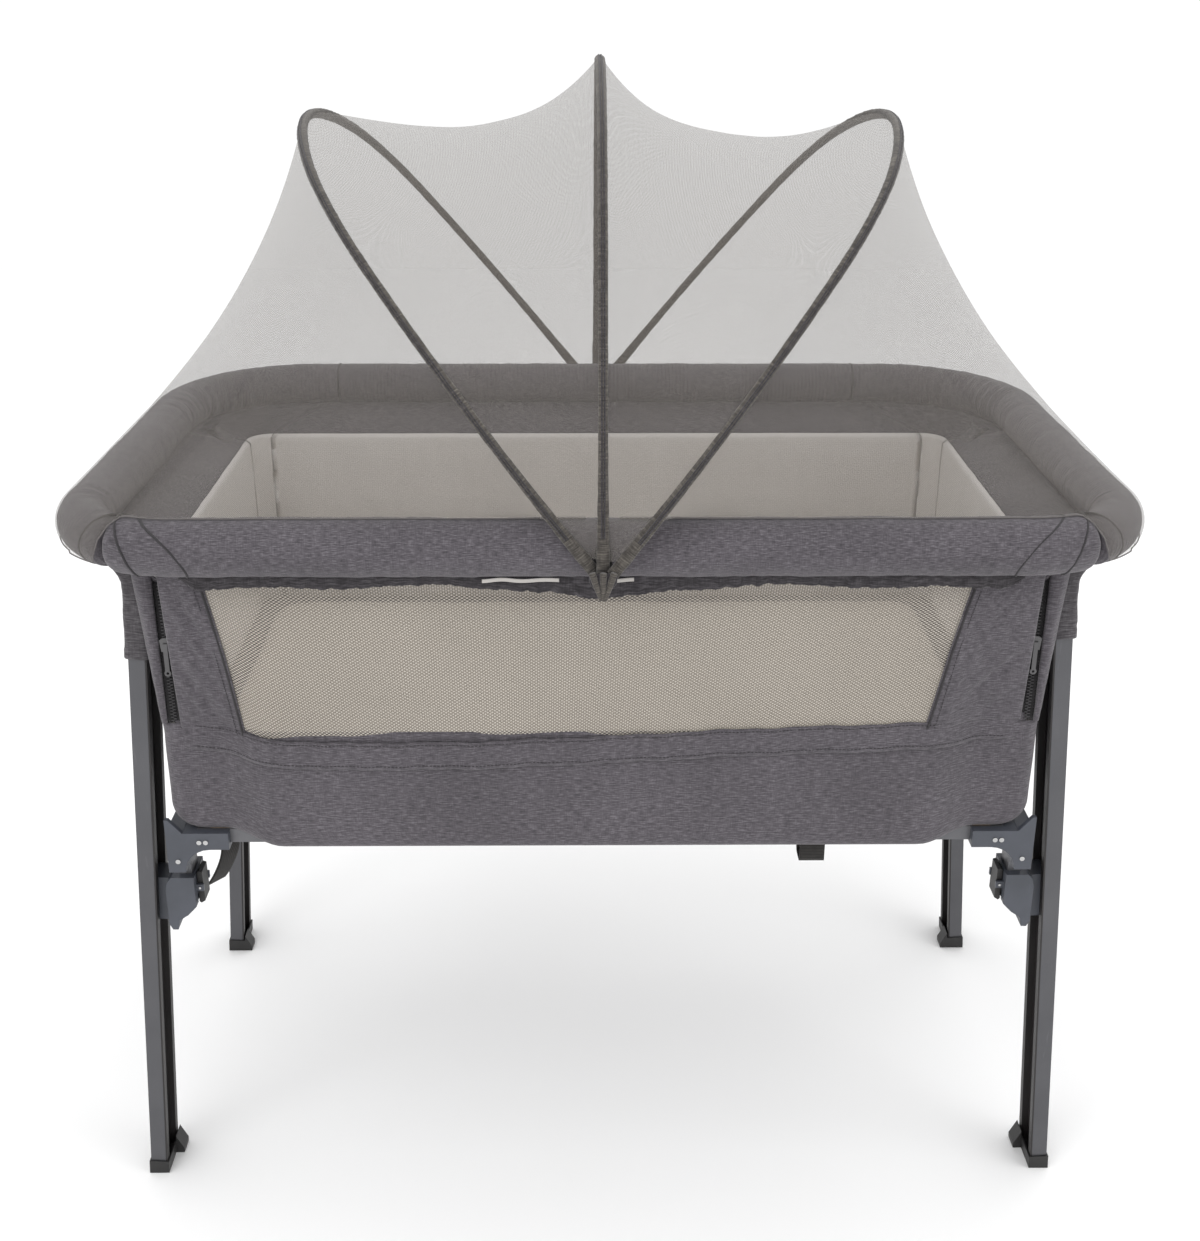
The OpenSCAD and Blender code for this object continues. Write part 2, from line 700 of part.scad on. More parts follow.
module net_left_middle() color(net_white) shell(
    net_between(left_half_w, side_hoop_h, -hoop_lean, mid_half_w, mid_hoop_h, 0, net_t),
    net_between(left_half_w, side_hoop_h, -hoop_lean, mid_half_w, mid_hoop_h, 0, 0));

module net_right_middle() color(net_white) shell(
    net_between(mid_half_w, mid_hoop_h, 0, right_half_w, side_hoop_h, hoop_lean, net_t),
    net_between(mid_half_w, mid_hoop_h, 0, right_half_w, side_hoop_h, hoop_lean, 0));

module net_left_end() color(net_white) mirror([1, 0, 0]) shell(
    net_end(left_half_w, side_hoop_h, hoop_lean, net_t),
    net_end(left_half_w, side_hoop_h, hoop_lean, 0));

module net_right_end() color(net_white) shell(
    net_end(right_half_w, side_hoop_h, hoop_lean, net_t),
    net_end(right_half_w, side_hoop_h, hoop_lean, 0));

// ---- what is drawn ----

rim_tube();
rim_cover();
corner_connectors();
back_panel();
end_panel_left();
end_panel_right();
lower_band();
base_frame();
support_slats();
mattress_board();
mattress();
at_corner("front_left") gusset();  // gusset_front_left
at_corner("front_right") gusset();  // gusset_front_right
at_corner("rear_left") gusset();  // gusset_rear_left
at_corner("rear_right") gusset();  // gusset_rear_right
stub_tubes();
at_corner("front_left") housing();  // housing_front_left
at_corner("front_right") housing();  // housing_front_right
at_corner("rear_left") housing();  // housing_rear_left
at_corner("rear_right") housing();  // housing_rear_right
gusset_screws();
lever_pins();
zip_tape_left();
zip_tape_right();
hub_rear();
leg_sleeves();
hanging_strap();
strap_loop();
front_panel();
net_left_end();
at_corner("front_left") leg();  // leg_front_left
at_corner("front_right") leg();  // leg_front_right
at_corner("rear_left") leg();  // leg_rear_left
at_corner("rear_right") leg();  // leg_rear_right
at_corner("front_left") track();  // track_front_left
at_corner("front_right") track();  // track_front_right
at_corner("rear_left") track();  // track_rear_left
at_corner("rear_right") track();  // track_rear_right
at_corner("front_left") foot();  // foot_front_left
at_corner("front_right") foot();  // foot_front_right
at_corner("rear_left") foot();  // foot_rear_left
at_corner("rear_right") foot();  // foot_rear_right
at_corner("front_left") lever();  // lever_front_left
at_corner("front_right") lever();  // lever_front_right
at_corner("rear_left") lever();  // lever_rear_left
at_corner("rear_right") lever();  // lever_rear_right
front_tube();
front_bar_cover();
zip_slider_left();
zip_slider_right();
hub_front();
hoop_left_wire();
hoop_left_sleeve();
net_left_middle();
hoop_middle_wire();
hoop_middle_sleeve();
net_right_middle();
hoop_right_wire();
hoop_right_sleeve();
net_right_end();
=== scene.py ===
"""Looks of the bassinet on its stand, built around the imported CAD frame.

Metres, +Z up. The cot's long side lies along X and its drop side faces -Y.
"""

import math

import bpy
import numpy as np
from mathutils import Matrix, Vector
from mathutils.bvhtree import BVHTree


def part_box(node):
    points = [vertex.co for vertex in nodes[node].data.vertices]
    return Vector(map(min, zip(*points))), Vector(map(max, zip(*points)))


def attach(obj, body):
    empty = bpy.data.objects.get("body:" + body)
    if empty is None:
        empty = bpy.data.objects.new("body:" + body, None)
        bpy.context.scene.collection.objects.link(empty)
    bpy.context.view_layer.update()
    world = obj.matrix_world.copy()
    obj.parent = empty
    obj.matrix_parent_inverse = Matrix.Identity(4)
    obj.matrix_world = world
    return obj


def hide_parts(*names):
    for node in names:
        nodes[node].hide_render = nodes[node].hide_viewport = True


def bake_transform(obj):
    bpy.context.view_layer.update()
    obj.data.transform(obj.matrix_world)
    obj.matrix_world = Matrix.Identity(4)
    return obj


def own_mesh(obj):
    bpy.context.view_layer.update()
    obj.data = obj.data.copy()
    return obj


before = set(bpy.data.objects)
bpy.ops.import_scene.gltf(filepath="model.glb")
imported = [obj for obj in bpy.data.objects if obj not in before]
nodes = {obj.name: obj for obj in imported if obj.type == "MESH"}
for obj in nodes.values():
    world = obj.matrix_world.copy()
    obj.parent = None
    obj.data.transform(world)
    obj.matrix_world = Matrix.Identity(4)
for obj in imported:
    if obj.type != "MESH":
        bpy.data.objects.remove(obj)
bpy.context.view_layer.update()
pi = math.pi

# ---- sizes read from the frame ----

rim_low, rim_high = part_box("rim_cover")
PAD_R = (rim_high.z - rim_low.z) / 2
RIM_Z = (rim_high.z + rim_low.z) / 2
HALF_X = rim_high.x - PAD_R
HALF_Y = rim_high.y - PAD_R
bar_low, bar_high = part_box("front_bar_cover")
BAR_R = (bar_high.z - bar_low.z) / 2 + 0.0012
band_low, band_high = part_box("lower_band")
TUB_X, TUB_Y = band_high.x, band_high.y
BAND_LOW, BAND_TOP = band_low.z, band_high.z
FLARE_LOW = 0.652
REAR_R, FRONT_R = 0.137, 0.097
BAR_END = math.radians(31)
SPLIT = math.radians(1.4)
HUB_Z = 0.680
HOOP_LEAN = math.radians(38)
HOOP_W = {"left": 0.3082, "middle": 0.3126, "right": 0.3170}
HOOP_H = {"left": 0.430, "middle": 0.387, "right": 0.430}
LEAN = {"left": -HOOP_LEAN, "middle": 0.0, "right": HOOP_LEAN}


# ---- mesh helpers ----


def smoothstep(low, high, value):
    t = np.clip((value - low) / (high - low), 0, 1)
    return t * t * (3 - 2 * t)


def ripple(points, scale, seed, octaves=3):
    """A smooth repeatable field of about -1 to 1, with features of that size."""
    rng = np.random.default_rng(seed)
    points = np.asarray(points, float)
    total = np.zeros(points.shape[:-1])
    for k in range(octaves * 4):
        d = rng.normal(size=3)
        d /= np.linalg.norm(d)
        f = 2 ** (k // 4) / scale * rng.uniform(0.8, 1.25)
        total += np.sin(2 * pi * f * (points @ d) + rng.uniform(0, 2 * pi)) / 2 ** (k // 4)
    return total / 4


def creases(u, v, lines):
    """Height of a cloth with creases. A line is (u0, v0, u1, v1, width, depth)."""
    out = np.zeros(np.broadcast(u, v).shape)
    for u0, v0, u1, v1, width, depth in lines:
        du, dv = u1 - u0, v1 - v0
        size = math.hypot(du, dv)
        t = ((u - u0) * du + (v - v0) * dv) / size**2
        d = ((u - u0) * dv - (v - v0) * du) / size
        fade = smoothstep(-0.15, 0.3, t) * smoothstep(-0.15, 0.3, 1 - t)
        fold = np.exp(-((d / width) ** 2)) - 0.55 * np.exp(-(((d - 1.5 * width) / width) ** 2))
        out -= depth * fade * fold
    return out


def make_object(name, points, faces, uvs, material, smooth=True):
    mesh = bpy.data.meshes.new(name)
    mesh.from_pydata([tuple(p) for p in points], [], faces)
    layer = mesh.uv_layers.new(name="cloth")
    layer.data.foreach_set("uv", np.asarray(uvs, np.float32).ravel())
    mesh.polygons.foreach_set("use_smooth", [smooth] * len(mesh.polygons))
    mesh.materials.append(material)
    mesh.update()
    obj = bpy.data.objects.new(name, mesh)
    bpy.context.scene.collection.objects.link(obj)
    return obj


def grid_uv(grid, wrap):
    """Length along the rows and columns at each grid point, in metres."""
    rows = grid.shape[0]
    along = np.linalg.norm(np.diff(grid, axis=0), axis=2).mean(1)
    v = np.concatenate([[0], np.cumsum(along)])
    closed = np.concatenate([grid, grid[:, :1]], axis=1) if wrap else grid
    across = np.linalg.norm(np.diff(closed, axis=1), axis=2).mean(0)
    u = np.concatenate([[0], np.cumsum(across)])
    return np.stack(np.broadcast_arrays(u[None, :], v[:rows, None]), axis=2)


def grid_parts(grid, wrap=False, start=0, flip=False):
    """Faces and loop UVs of a grid of points, closed round its columns if wrap."""
    rows, cols = grid.shape[:2]
    uv = grid_uv(grid, wrap)
    faces, uvs = [], []
    for i in range(rows - 1):
        for j in range(cols if wrap else cols - 1):
            k = (j + 1) % cols
            ring = [(i, j, j), (i, k, j + 1), (i + 1, k, j + 1), (i + 1, j, j)]
            if flip:
                ring = ring[::-1]
            faces.append([start + a * cols + b for a, b, _ in ring])
            uvs.extend(uv[a, c] for a, _, c in ring)
    return faces, uvs


def grid_normals(grid, wrap=False):
    down = np.gradient(grid, axis=0)
    if wrap:
        across = np.roll(grid, -1, 1) - np.roll(grid, 1, 1)
    else:
        across = np.gradient(grid, axis=1)
    n = np.cross(across, down)
    return n / np.maximum(np.linalg.norm(n, axis=2, keepdims=True), 1e-12)


def shell_object(name, grid, thickness, material, wrap=False):
    """A closed sheet with thickness around a grid of points."""
    rows, cols = grid.shape[:2]
    n = grid_normals(grid, wrap) * thickness / 2
    points = np.concatenate([(grid + n).reshape(-1, 3), (grid - n).reshape(-1, 3)])
    faces, uvs = grid_parts(grid, wrap)
    back, back_uv = grid_parts(grid, wrap, rows * cols, True)
    faces += back
    uvs += back_uv
    uv, count = grid_uv(grid, wrap), rows * cols
    edges = []
    for j in range(cols if wrap else cols - 1):
        k = (j + 1) % cols
        edges += [((0, k), (0, j)), ((rows - 1, j), (rows - 1, k))]
    if not wrap:
        for i in range(rows - 1):
            edges += [((i, 0), (i + 1, 0)), ((i + 1, cols - 1), (i, cols - 1))]
    for a, b in edges:
        pa, pb = a[0] * cols + a[1], b[0] * cols + b[1]
        faces.append([pa, pb, count + pb, count + pa])
        uvs += [uv[a], uv[b], uv[b], uv[a]]
    return make_object(name, points, faces, uvs, material)


def open_object(name, grid, material):
    """A sheet of net, thin enough to be one layer."""
    faces, uvs = grid_parts(grid)
    return make_object(name, grid.reshape(-1, 3), faces, uvs, material)


def tube_object(name, grid, material, caps=True):
    """A tube whose rings are the rows of the grid, closed at its ends."""
    rows, cols = grid.shape[:2]
    faces, uvs = grid_parts(grid, True, flip=True)
    points = list(grid.reshape(-1, 3))
    if caps:
        for row, order in ((0, 1), (rows - 1, -1)):
            ring = [row * cols + j for j in range(cols)][::order]
            centre = grid[row].mean(0)
            points.append(centre)
            c = len(points) - 1
            for j in range(cols):
                a, b = ring[j], ring[(j + 1) % cols]
                faces.append([a, b, c])
                uvs += [(points[p] - centre)[:2] for p in (a, b)] + [(0, 0)]
    return make_object(name, np.array(points), faces, uvs, material)


def resampled(points, step):
    points = np.asarray(points, float)
    s = np.concatenate([[0], np.cumsum(np.linalg.norm(np.diff(points, axis=0), axis=1))])
    count = max(2, int(round(s[-1] / step)) + 1)
    t = np.linspace(0, s[-1], count)
    return np.stack([np.interp(t, s, points[:, k]) for k in range(points.shape[1])], 1), t


def arc(cx, cy, r, start, end, count):
    a = np.linspace(start, end, count)
    return np.stack([cx + r * np.cos(a), cy + r * np.sin(a)], 1)


def turned_frames(path, up):
    """Tangent, side and upward directions along a path of 3-D points."""
    t = np.gradient(path, axis=0)
    t /= np.linalg.norm(t, axis=1, keepdims=True)
    side = np.cross(t, up)
    side /= np.linalg.norm(side, axis=1, keepdims=True)
    return t, side, np.cross(side, t)


def swept(path, up, radius, count, across=1.0):
    """Rings round a path. radius is a number, or an array of path by ring points."""
    _, side, above = turned_frames(path, up)
    phi = np.arange(count) * 2 * pi / count
    r = np.broadcast_to(radius, (len(path), count))[..., None]
    return (
        path[:, None]
        + side[:, None] * (across * np.cos(phi))[None, :, None] * r
        + above[:, None] * np.sin(phi)[None, :, None] * r
    )


# ---- materials ----


def new_material(name):
    m = bpy.data.materials.new(name)
    m.use_nodes = True
    tree = m.node_tree
    tree.nodes.clear()
    out = tree.nodes.new("ShaderNodeOutputMaterial")
    shader = tree.nodes.new("ShaderNodeBsdfPrincipled")
    tree.links.new(shader.outputs[0], out.inputs["Surface"])
    return m, tree, shader


class Graph:
    """Short calls for the nodes that the materials below use."""

    def __init__(self, name):
        self.material, self.tree, self.shader = new_material(name)

    def node(self, kind, **settings):
        n = self.tree.nodes.new("ShaderNode" + kind)
        for key, value in settings.items():
            setattr(n, key, value)
        return n

    def link(self, source, target):
        self.tree.links.new(source, target)

    def set(self, **values):
        for key, value in values.items():
            self.shader.inputs[key.replace("_", " ")].default_value = value

    def uv(self, scale):
        n = self.node("UVMap", uv_map="cloth")
        m = self.node("Mapping")
        m.inputs["Scale"].default_value = scale
        self.link(n.outputs["UV"], m.inputs["Vector"])
        return m.outputs["Vector"]

    def place(self, scale=(1, 1, 1)):
        n = self.node("TexCoord")
        m = self.node("Mapping")
        m.inputs["Scale"].default_value = scale
        self.link(n.outputs["Object"], m.inputs["Vector"])
        return m.outputs["Vector"]

    def noise(self, vector, scale, detail=3.0, roughness=0.5, distortion=0.0):
        n = self.node("TexNoise")
        n.inputs["Scale"].default_value = scale
        n.inputs["Detail"].default_value = detail
        n.inputs["Roughness"].default_value = roughness
        n.inputs["Distortion"].default_value = distortion
        self.link(vector, n.inputs["Vector"])
        return n.outputs["Fac"]

    def wave(self, vector, direction, period, distortion=0.0):
        n = self.node("TexWave", bands_direction=direction)
        n.inputs["Scale"].default_value = 2 * pi / (20 * period)
        n.inputs["Distortion"].default_value = distortion
        n.inputs["Detail Scale"].default_value = 0.4
        self.link(vector, n.inputs["Vector"])
        return n.outputs["Fac"]

    def math(self, operation, a, b=0.0, clamp=False):
        n = self.node("Math", operation=operation, use_clamp=clamp)
        for value, socket in ((a, n.inputs[0]), (b, n.inputs[1])):
            if hasattr(value, "links"):
                self.link(value, socket)
            else:
                socket.default_value = value
        return n.outputs[0]

    def ramp(self, fac, stops):
        n = self.node("ValToRGB")
        ends = n.color_ramp.elements
        while len(ends) < len(stops):
            ends.new(0.5)
        for e, (at, colour) in zip(ends, stops):
            e.position = at
            e.color = (*colour, 1) if hasattr(colour, "__len__") else (colour,) * 3 + (1,)
        self.link(fac, n.inputs["Fac"])
        return n.outputs["Color"]

    def mix(self, fac, a, b, kind="MIX"):
        n = self.node("Mix", data_type="RGBA", blend_type=kind)
        for value, socket in ((fac, n.inputs[0]), (a, n.inputs[6]), (b, n.inputs[7])):
            if hasattr(value, "links"):
                self.link(value, socket)
            elif hasattr(value, "__len__"):
                socket.default_value = (*value, 1)
            else:
                socket.default_value = value
        return n.outputs[2]

    def bump(self, height, distance, strength=1.0, base=None):
        n = self.node("Bump")
        n.inputs["Strength"].default_value = strength
        n.inputs["Distance"].default_value = distance
        self.link(height, n.inputs["Height"])
        if base is not None:
            self.link(base, n.inputs["Normal"])
        return n.outputs["Normal"]

    def soft_edges(self, radius):
        n = self.node("Bevel", samples=4)
        n.inputs["Radius"].default_value = radius
        return n.outputs["Normal"]


def srgb(r, g, b):
    """Linear colour of an sRGB one given from 0 to 255."""
    return tuple(
        c / 12.92 if c <= 0.04045 else ((c + 0.055) / 1.055) ** 2.4
        for c in (r / 255, g / 255, b / 255)
    )


def melange(name, dark, mid, light, use_uv=True, thread=0.0007, streak=8.0, fuzz=0.2, gather=0.0, lie=0.25):
    """Two-tone woven cloth: threads of mixed colour, slubs and a fine weave."""
    g = Graph(name)
    flat = g.uv((1, 1, 1)) if use_uv else g.place()
    warp = g.uv((1, 1 / streak, 1)) if use_uv else g.place((1, 1, 1 / streak))
    weft = g.uv((1 / streak, 1, 1)) if use_uv else g.place((1 / streak, 1 / streak, 1))
    a = g.noise(warp, 0.55 / thread, 2.5, 0.65)
    b = g.noise(weft, 0.5 / thread, 2.5, 0.65)
    both = g.math("ADD", g.math("MULTIPLY", a, lie), g.math("MULTIPLY", b, 1 - lie))
    colour = g.ramp(both, [(0.36, dark), (0.5, mid), (0.66, light)])
    broad = g.noise(flat, 9.0, 3.0, 0.55)
    shade = g.ramp(broad, [(0.3, 0.86), (0.7, 1.08)])
    g.link(g.mix(1.0, colour, shade, "MULTIPLY"), g.shader.inputs["Base Color"])
    weave = g.math("ADD", g.wave(flat, "X", thread), g.wave(flat, "Y", thread * 1.1))
    height = g.math("ADD", g.math("MULTIPLY", weave, 0.3), both)
    fine = g.bump(height, 0.0005, 0.4)
    if gather:
        folds = g.wave(g.uv((0.25, 1, 1)), "Y", gather, 2.2)
        where = g.ramp(g.noise(flat, 16.0, 2.0, 0.5), [(0.42, 0.0), (0.58, 1.0)])
        fine = g.bump(g.math("MULTIPLY", folds, where), 0.0011, 0.55, fine)
    pucker = g.noise(flat, 55.0, 4.0, 0.6)
    g.link(g.bump(pucker, 0.0022, 0.35, fine), g.shader.inputs["Normal"])
    g.link(g.math("MULTIPLY_ADD", both, 0.2), g.shader.inputs["Roughness"])
    g.shader.inputs["Roughness"].links[0].from_node.inputs[2].default_value = 0.72
    g.set(Sheen_Weight=fuzz, Sheen_Roughness=0.45, Specular_IOR_Level=0.25)
    return g.material


def knit(name, base, pale, cell=0.0022, depth=0.0005, use_uv=True, rough=0.85):
    """Soft light lining or ticking with a small dimpled knit."""
    g = Graph(name)
    flat = g.uv((1, 1, 1)) if use_uv else g.place()
    v = g.node("TexVoronoi", feature="F1")
    v.inputs["Scale"].default_value = 1 / cell
    v.inputs["Randomness"].default_value = 0.35
    g.link(flat, v.inputs["Vector"])
    broad = g.noise(flat, 8.0, 3.0, 0.5)
    tone = g.mix(broad, base, pale)
    dots = g.ramp(v.outputs["Distance"], [(0.0, 1.0), (0.75, 0.9)])
    g.link(g.mix(0.8, tone, dots, "MULTIPLY"), g.shader.inputs["Base Color"])
    g.link(
        g.bump(g.noise(flat, 45.0, 3.0, 0.5), 0.002, 0.3, g.bump(v.outputs["Distance"], depth, 0.5)),
        g.shader.inputs["Normal"],
    )
    g.link(g.math("MULTIPLY_ADD", broad, 0.12), g.shader.inputs["Roughness"])
    g.shader.inputs["Roughness"].links[0].from_node.inputs[2].default_value = rough - 0.06
    g.set(Sheen_Weight=0.2, Specular_IOR_Level=0.2)
    return g.material


def open_net(name, colour, cell, thread, hole_alpha, thread_alpha, stretch=1.0, grey=0.1):
    """Net whose holes are cut by a cell pattern of its real size."""
    g = Graph(name)
    flat = g.uv((1, stretch, 1))
    v = g.node("TexVoronoi", feature="DISTANCE_TO_EDGE")
    v.inputs["Scale"].default_value = 1 / cell
    v.inputs["Randomness"].default_value = 0.12
    g.link(flat, v.inputs["Vector"])
    lines = g.ramp(v.outputs["Distance"], [(thread * 0.6, thread_alpha), (thread * 1.5, hole_alpha)])
    broad = g.noise(flat, 7.0, 2.0, 0.5)
    tone = g.mix(broad, colour, tuple(c * (1 - grey) for c in colour))
    g.link(tone, g.shader.inputs["Base Color"])
    g.link(lines, g.shader.inputs["Alpha"])
    g.link(g.bump(v.outputs["Distance"], 0.0004, 0.4), g.shader.inputs["Normal"])
    g.set(Roughness=0.75, Specular_IOR_Level=0.2, Sheen_Weight=0.15)
    return g.material


def warp_mesh(name, shade, thread, across, up, hole_alpha, thread_alpha):
    """Warp-knit mesh: crossing slanted threads with diamond holes of a real size."""
    g = Graph(name)
    rise = g.wave(g.uv((1, across / up, 1)), "DIAGONAL", across / 2)
    fall = g.wave(g.uv((1, -across / up, 1)), "DIAGONAL", across / 2)
    lines = g.math("MAXIMUM", rise, fall)
    knots = g.math("MULTIPLY", rise, fall)
    g.link(g.ramp(lines, [(0.45, hole_alpha), (0.80, thread_alpha)]), g.shader.inputs["Alpha"])
    tone = g.ramp(knots, [(0.15, shade), (0.75, thread)])
    broad = g.ramp(g.noise(g.uv((1, 1, 1)), 7.0, 2.0, 0.5), [(0.3, 0.94), (0.7, 1.04)])
    g.link(g.mix(1.0, tone, broad, "MULTIPLY"), g.shader.inputs["Base Color"])
    g.link(g.bump(lines, 0.0005, 0.5), g.shader.inputs["Normal"])
    g.set(Roughness=0.75, Specular_IOR_Level=0.2, Sheen_Weight=0.15)
    return g.material


def webbing(name, dark, light, rib=0.0016):
    """Woven strap: ribs across it, a twill and slightly worn edges."""
    g = Graph(name)
    flat = g.uv((1, 1, 1))
    ribs = g.wave(flat, "Y", rib)
    twill = g.wave(flat, "DIAGONAL", rib * 0.8)
    worn = g.noise(flat, 180.0, 4.0, 0.6)
    g.link(g.ramp(g.math("MULTIPLY", worn, ribs), [(0.15, dark), (0.6, light)]),
           g.shader.inputs["Base Color"])
    g.link(g.bump(g.math("ADD", ribs, g.math("MULTIPLY", twill, 0.4)), 0.0004, 0.7),
           g.shader.inputs["Normal"])
    g.set(Roughness=0.7, Sheen_Weight=0.1, Specular_IOR_Level=0.3)
    return g.material


def painted(name, base, worn, rough, metallic, grain=600.0, edge=0.001, brushed=None, coat=0.0):
    """Paint, moulded plastic or steel with fine grain, soft edges and light wear."""
    g = Graph(name)
    scale = brushed if brushed else (1, 1, 1)
    space = g.place(scale)
    fine = g.noise(space, grain, 3.0, 0.55)
    broad = g.noise(g.place(), 14.0, 4.0, 0.6)
    scuffs = g.noise(g.place((1, 1, 0.12)), 260.0, 2.0, 0.5)
    tone = g.mix(g.ramp(broad, [(0.35, 0.0), (0.75, 1.0)]), base, worn)
    marks = g.ramp(scuffs, [(0.70, 1.0), (0.78, 1.18)])
    g.link(g.mix(1.0, tone, marks, "MULTIPLY"), g.shader.inputs["Base Color"])
    spread = g.math("MULTIPLY_ADD", g.math("ADD", fine, broad), 0.16)
    spread.node.inputs[2].default_value = rough - 0.16
    g.link(spread, g.shader.inputs["Roughness"])
    g.link(g.bump(fine, 0.00025, 0.35, g.soft_edges(edge)), g.shader.inputs["Normal"])
    g.set(Metallic=metallic, Coat_Weight=coat)
    return g.material


CHAR_DARK, CHAR_MID, CHAR_PALE = srgb(63, 60, 64), srgb(84, 80, 85), srgb(111, 107, 112)
mat_fabric = melange("fabric_melange", CHAR_DARK, CHAR_MID, CHAR_PALE, thread=0.00055, streak=7.0)
mat_bar = melange("fabric_bar", CHAR_DARK, CHAR_MID, CHAR_PALE, thread=0.00055, streak=7.0, lie=0.75)
mat_rim = melange("fabric_rim", CHAR_DARK, CHAR_MID, srgb(105, 101, 105), thread=0.0005, streak=5.0,
                  gather=0.0042, lie=0.6)
mat_sleeve = melange("fabric_hoop_sleeve", srgb(52, 48, 46), srgb(76, 72, 68), srgb(112, 107, 100))
mat_legsleeve = melange("fabric_leg_sleeve", srgb(57, 54, 57), srgb(80, 77, 80), srgb(108, 105, 108))
mat_darkhem = melange("fabric_hem", srgb(38, 36, 38), srgb(56, 53, 56), srgb(84, 81, 84))
mat_piping = webbing("piping_dark", srgb(40, 38, 40), srgb(66, 63, 66), 0.0011)
mat_lining = knit("lining_light", srgb(210, 205, 201), srgb(224, 220, 216))
mat_mattress = knit("mattress_cloth", srgb(190, 180, 164), srgb(205, 197, 184), 0.003, 0.0007, use_uv=False)
mat_net = open_net("net_tulle", srgb(128, 123, 118), 0.0011, 0.10, 0.19, 0.62)
mat_nethem = knit("net_hem", srgb(92, 88, 88), srgb(106, 102, 101), 0.0014, 0.0003)
mat_trim = knit("net_trim", srgb(176, 172, 168), srgb(196, 192, 188), 0.0014, 0.0004)
mat_mesh = warp_mesh("mesh_front_window", srgb(128, 121, 113), srgb(196, 190, 181), 0.0042, 0.0028,
                     0.45, 0.95)
mat_webbing = webbing("webbing_black", srgb(26, 24, 23), srgb(56, 53, 50))
mat_zip = webbing("zip_tape_cloth", srgb(24, 23, 24), srgb(48, 46, 48), 0.0012)
mat_teeth = painted("zip_teeth", srgb(38, 36, 38), srgb(60, 58, 60), 0.42, 0.0, 900.0, 0.0002)
mat_leg = painted("leg_satin_grey", srgb(89, 89, 92), srgb(96, 96, 99), 0.38, 0.75, 900.0,
                  0.0012, brushed=(1, 1, 0.05))
mat_frame = painted("frame_paint", srgb(98, 98, 101), srgb(110, 110, 113), 0.42, 0.5, 700.0, 0.001)
mat_tube = painted("rim_steel", srgb(120, 120, 122), srgb(134, 134, 136), 0.35, 0.9, 700.0, 0.0006)
mat_black = painted("plastic_black", srgb(28, 27, 27), srgb(38, 37, 37), 0.48, 0.0, 1400.0, 0.0009)
# Near-black for the track parts on the legs' inner faces: partly their own dark colour, partly painted shade
# of those inward faces.
mat_track_dark_and_shade = painted("track_dark_and_painted_shade", srgb(26, 23, 23), srgb(34, 31, 31), 0.5, 0.0, 1200.0, 0.0004)
mat_slate = painted("plastic_slate", srgb(62, 65, 72), srgb(76, 79, 88), 0.45, 0.0, 1300.0, 0.001)
mat_bright = painted("steel_bright", srgb(190, 190, 190), srgb(160, 160, 160), 0.25, 1.0, 500.0, 0.0004)
mat_spring = painted("spring_steel", srgb(108, 106, 104), srgb(90, 88, 86), 0.35, 1.0, 800.0, 0.0003)
mat_board = painted("board_fibre", srgb(150, 122, 88), srgb(132, 104, 72), 0.75, 0.0, 420.0, 0.0006,
                    brushed=(1, 0.3, 1))
mat_pull = painted("zip_pull", srgb(86, 85, 86), srgb(100, 99, 100), 0.35, 0.6, 900.0, 0.0002)

# ---- padded rim ----

RING = 40


def rim_ring(path, outward, radius):
    """Rings round a level path. outward is the level normal; ring angle 0 faces outward."""
    phi = np.arange(radius.shape[1]) * 2 * pi / radius.shape[1]
    level = outward[:, None] * (radius * np.cos(phi))[..., None]
    ring = np.zeros((*radius.shape, 3))
    ring[..., :2] = path[:, None] + level
    ring[..., 2] = RIM_Z + radius * np.sin(phi)
    return ring


def level_normals(path, side):
    t = np.gradient(path, axis=0)
    t /= np.linalg.norm(t, axis=1, keepdims=True)
    return side * np.stack([-t[:, 1], t[:, 0]], 1)


fixed_end = -pi / 2 + BAR_END + SPLIT
fixed_line, fixed_s = resampled(
    np.concatenate([
        arc(-(HALF_X - FRONT_R), -(HALF_Y - FRONT_R), FRONT_R, pi - fixed_end, pi, 40),
        arc(-(HALF_X - REAR_R), HALF_Y - REAR_R, REAR_R, pi, pi / 2, 40),
        arc(HALF_X - REAR_R, HALF_Y - REAR_R, REAR_R, pi / 2, 0, 40),
        arc(HALF_X - FRONT_R, -(HALF_Y - FRONT_R), FRONT_R, 0, fixed_end, 40),
    ]),
    0.0028,
)
fixed_length = fixed_s[-1]
phi = np.arange(RING) * 2 * pi / RING
S, PHI = np.meshgrid(fixed_s, phi, indexing="ij")
arc_front = FRONT_R * (-fixed_end)
left_bar = arc_front
rear_left = arc_front + 2 * HALF_Y - FRONT_R - REAR_R
rear_left_end = rear_left + REAR_R * pi / 2
rear_right = rear_left_end + 2 * (HALF_X - REAR_R)
rear_right_end = rear_right + REAR_R * pi / 2


def gathers(start, end, count, depth, seed, lean=0.0):
    """Short folds across the rim between two places along it, deepest on its inner side."""
    rng = np.random.default_rng(seed)
    out = np.zeros_like(S)
    for at in np.linspace(start, end, count):
        at += rng.uniform(-0.004, 0.004)
        width = rng.uniform(0.0022, 0.0042)
        deep = depth * rng.uniform(0.45, 1.0)
        tilt = lean + rng.uniform(-0.006, 0.006)
        centre = pi * rng.uniform(0.72, 1.15)
        spread = rng.uniform(0.7, 1.25)
        d = (S - at - tilt * (PHI - pi)) / width
        out -= deep * (np.exp(-d * d) - 0.5 * np.exp(-((d - 1.7) ** 2))) * np.exp(
            -(((PHI - centre) / spread) ** 2)
        )
    return out


